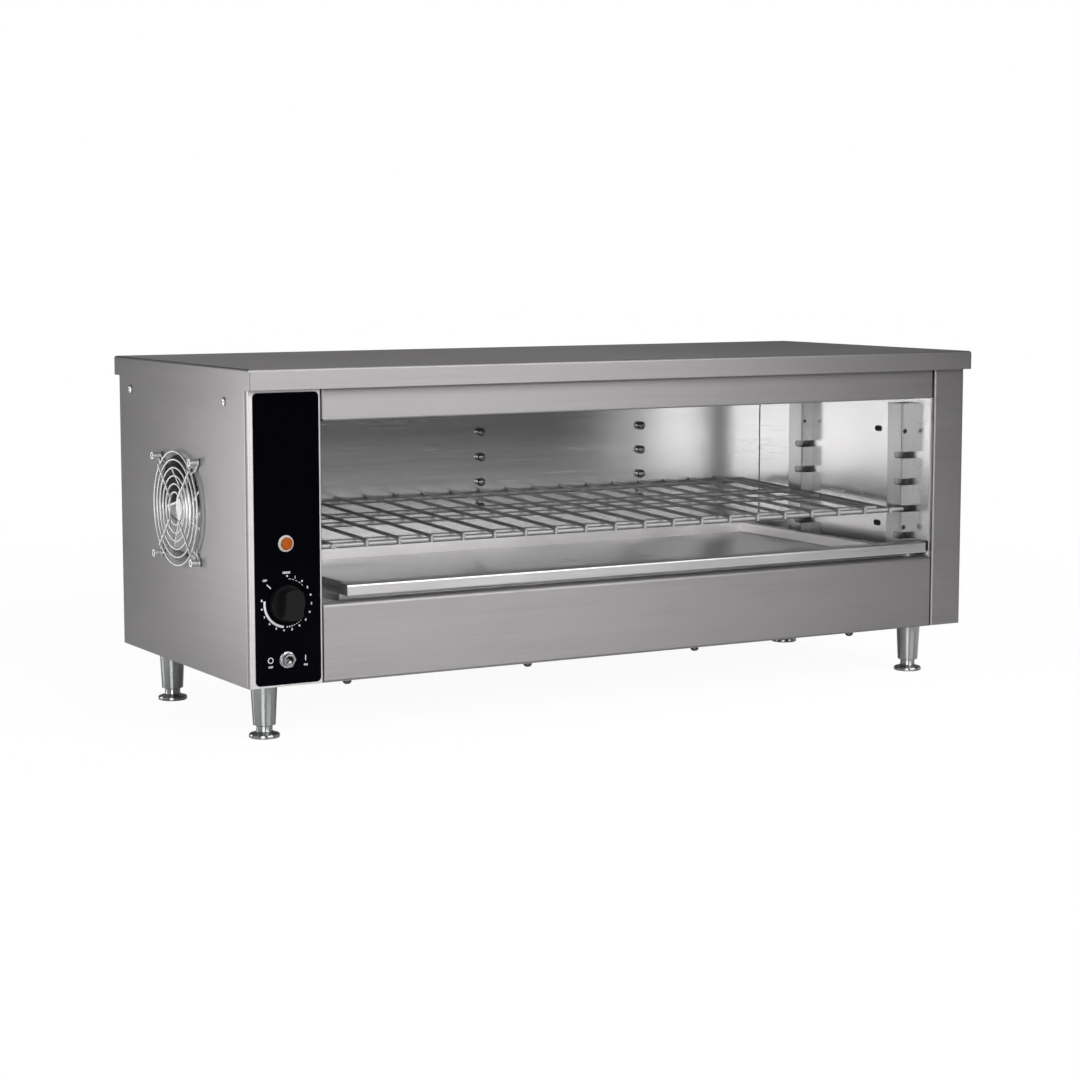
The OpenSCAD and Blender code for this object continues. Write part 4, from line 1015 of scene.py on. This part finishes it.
def levelling_feet():
    """Feet with a rounded base, a neck and a threaded stem, turned about each leg's axis."""
    neck_top = LEG_LENGTH - SLEEVE_LENGTH - 0.3
    stem_top = neck_top + STEM_LENGTH
    sole = [(0, 0.6), (12.5, 0.6), (13.2, 0.0), (15.2, 0.0), (15.9, 0.5), (16, 1.4), (16, 3.2)]
    flare = [(15.7, 3.9), (14.9, 4.5), (12.4, 5.1), (9.9, 5.9), (8.8, 6.9), (8.5, 8.0)]
    neck = [(8.5, neck_top - 0.9), (7.8, neck_top - 0.1), (4.3, neck_top)]
    stem = thread_profile(radius=4.98, depth=0.7, pitch=1.5, start=neck_top, end=stem_top)
    tip = [(4.0, stem_top + 0.3), (0, stem_top + 0.3)]
    foot = turned(sole + flare + neck + stem + tip, 48)
    for end, y in (("front", -LEG_Y), ("rear", LEG_Y)):
        for side, x in (("left", -LEG_X), ("right", LEG_X)):
            node, body = f"{end}_{side}_foot", f"foot_{end}_{side}"
            parts = [(foot + (x, y, -LEG_LENGTH), False, True)]
            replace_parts(piece(node + "_turned", parts, LEG_CHROME, body), node)


fan_hub_cap()
rack_welds()
peg_studs()
hook_hole_painted_shade()
levelling_feet()


# ---------------------------------------------------------------- stage, lights and camera

# Outline of the floor in metres, and the brightness of its seen and its mirrored glow
FLOOR_EDGE = [
    (-3.4, -3.8),
    (-1.0, -3.6),
    (-0.4, -1.7),
    (0.7, -1.15),
    (1.9, 0.1),
    (3.4, 3.4),
    (0.6, 3.4),
    (-0.9, 1.3),
    (-3.4, 0.6),
]
FLOOR_SHADE, FLOOR_LIFT, MIRRORED_GLOW = 0.14, 0.10, 0.2
# The floor's mirrored glow is none under the cabinet and rises past its edge: a painted shadow.
FLOOR_NEAR, FLOOR_FAR, PAINTED_SHADOW_FADE = 0.6, 1.9, 0.16

# Studio: plain grey, its glow overhead and to both sides, and the white band at the horizon
SKY, SIDE_GLOW = 0.09, 0.36
GLOW_START, GLOW_FULL = 0.74, 0.97
BAND_LOW, BAND_HIGH = 0.02, 0.07

# Camera: its place from the cover's middle and its axes, in metres of the row frame
CAMERA_LENS, CAMERA_SENSOR = 83.27, 36.0
CAMERA_PLACE = (-1.43993 + ROW[0] * MM, -2.46969 + ROW[1] * MM, 0.50104)
CAMERA_RIGHT = (0.86644, -0.49930, 0.0)
CAMERA_UP = (0.05784, 0.10037, 0.99329)
CAMERA_BACK = (-0.49594, -0.86061, 0.11584)


def glow_mix(tree, share, plain, glow, output):
    """Sends a share of the glow and the rest of the plain shader to the output."""
    mix = tree.nodes.new("ShaderNodeMixShader")
    tree.links.new(share, mix.inputs[0])
    tree.links.new(plain.outputs[0], mix.inputs[1])
    tree.links.new(glow.outputs[0], mix.inputs[2])
    tree.links.new(mix.outputs[0], output.inputs["Surface"])


def seen_rays(tree):
    """Shares of the camera's rays, and of the rays that metal and glass send on."""
    path = tree.nodes.new("ShaderNodeLightPath").outputs
    sent_on = math_node(tree, "MAXIMUM", path["Is Glossy Ray"], path["Is Transmission Ray"])
    return path["Is Camera Ray"], sent_on


def floor():
    """Plain pale floor under the feet. The camera sees it white, with the cabinet's shadow near
    the middle, and metal sees a weak glow of it outside a painted shadow under the cabinet."""
    mesh = bpy.data.meshes.new("floor")
    mesh.from_pydata([(x, y, 0) for x, y in FLOOR_EDGE], [], [tuple(range(len(FLOOR_EDGE)))])
    linked("floor", mesh)
    material, tree, shader = start_material("pale_floor")
    set_values(shader, Base_Color=(0.82, 0.82, 0.82, 1), Roughness=0.9, Specular_IOR_Level=0.0)
    where = coordinates(tree)
    far = smooth_ramp(tree, vector_node(tree, "LENGTH", where), FLOOR_NEAR, FLOOR_FAR)
    near = minus(tree, 1.0, far)
    glow = tree.nodes.new("ShaderNodeEmission")
    glow.inputs["Color"].default_value = (1, 1, 1, 1)
    tree.links.new(plus(tree, times(tree, near, FLOOR_LIFT), 1.0), glow.inputs["Strength"])
    seen, mirrored = seen_rays(tree)
    direct = times(tree, seen, minus(tree, 1.0, times(tree, near, FLOOR_SHADE)))
    share = math_node(tree, "MAXIMUM", direct, times(tree, mirrored, mirrored_floor_painted_shadow(tree, where)))
    glow_mix(tree, share, shader, glow, tree.nodes["Material Output"])
    mesh.materials.append(material)


def mirrored_floor_painted_shadow(tree, where):
    """Glow of the mirrored floor, with a painted shadow: none under the cabinet, rising over a short way past
    its edge.
    """
    across = vector_node(tree, "ABSOLUTE", where)
    past = parted(tree, vector_node(tree, "SUBTRACT", across, (COVER_HALF * MM, BACK * MM, 0)))
    outside = math_node(tree, "MAXIMUM", past["X"], past["Y"])
    return smooth_ramp(tree, outside, 0.0, PAINTED_SHADOW_FADE, high=MIRRORED_GLOW)


def world():
    """White backdrop near the horizon behind, and a soft grey studio that is lighter overhead
    and to both sides."""
    made = bpy.data.worlds.new("studio")
    bpy.context.scene.world = made
    made.use_nodes = True
    tree = made.node_tree
    tree.nodes.clear()
    look = parted(tree, coordinates(tree, "Generated"))
    band = smooth_ramp(tree, look["Z"], BAND_LOW, BAND_HIGH, 1.0, 0.0)
    behind = times(tree, look["Y"], 3.0, clamp=True)
    behind = times(tree, behind, plus(tree, times(tree, look["X"], 1.5), 0.85, clamp=True))
    seen, mirrored = seen_rays(tree)
    mirrored = times(tree, times(tree, mirrored, band), behind)
    sky = tree.nodes.new("ShaderNodeBackground")
    sky.inputs["Color"].default_value = (1, 1, 1, 1)
    outwards = math_node(tree, "MAXIMUM", math_node(tree, "ABSOLUTE", look["X"]), look["Z"])
    strength = smooth_ramp(tree, outwards, GLOW_START, GLOW_FULL, SKY, SIDE_GLOW)
    tree.links.new(strength, sky.inputs["Strength"])
    white = tree.nodes.new("ShaderNodeBackground")
    white.inputs["Color"].default_value = (1, 1, 1, 1)
    white.inputs["Strength"].default_value = 1.0
    share = math_node(tree, "MAXIMUM", seen, mirrored)
    glow_mix(tree, share, sky, white, tree.nodes.new("ShaderNodeOutputWorld"))


def soft_box(name, place, target, size, power):
    """Rectangular area lamp at a place, turned to a target."""
    data = bpy.data.lights.new(name, "AREA")
    data.shape = "RECTANGLE"
    data.size, data.size_y = size
    data.energy = power
    made = linked(name, data)
    made.location = place
    made.rotation_euler = (Vector(target) - Vector(place)).to_track_quat("-Z", "Y").to_euler()


def camera():
    """Camera at the front left, a little above the cover."""
    data = bpy.data.cameras.new("camera")
    data.lens = CAMERA_LENS
    data.sensor_width = CAMERA_SENSOR
    data.sensor_fit = "HORIZONTAL"
    data.clip_end = 60
    made = linked("camera", data)
    axes = Matrix((CAMERA_RIGHT, CAMERA_UP, CAMERA_BACK)).transposed()
    made.matrix_world = axes.to_4x4()
    made.location = CAMERA_PLACE
    bpy.context.scene.camera = made


floor()
world()
soft_box("front_high", place=(0.88, -2.9, 1.7), target=(0.0, 0.0, 0.3), size=(2.4, 2.1), power=56)
soft_box("front_left", place=(-2.35, -3.1, 0.75), target=(0.2, 0.1, 0.2), size=(1.9, 1.5), power=36)
soft_box("cavity_left", place=(-1.95, -2.55, 0.30), target=(0.35, 0.1, 0.22), size=(0.6, 0.45), power=1.9)
soft_box("left_rear", place=(-0.95, 0.55, 0.22), target=(-0.45, -0.14, 0.2), size=(0.3, 0.4), power=1.2)
camera()
bpy.context.scene.view_settings.view_transform = "Standard"
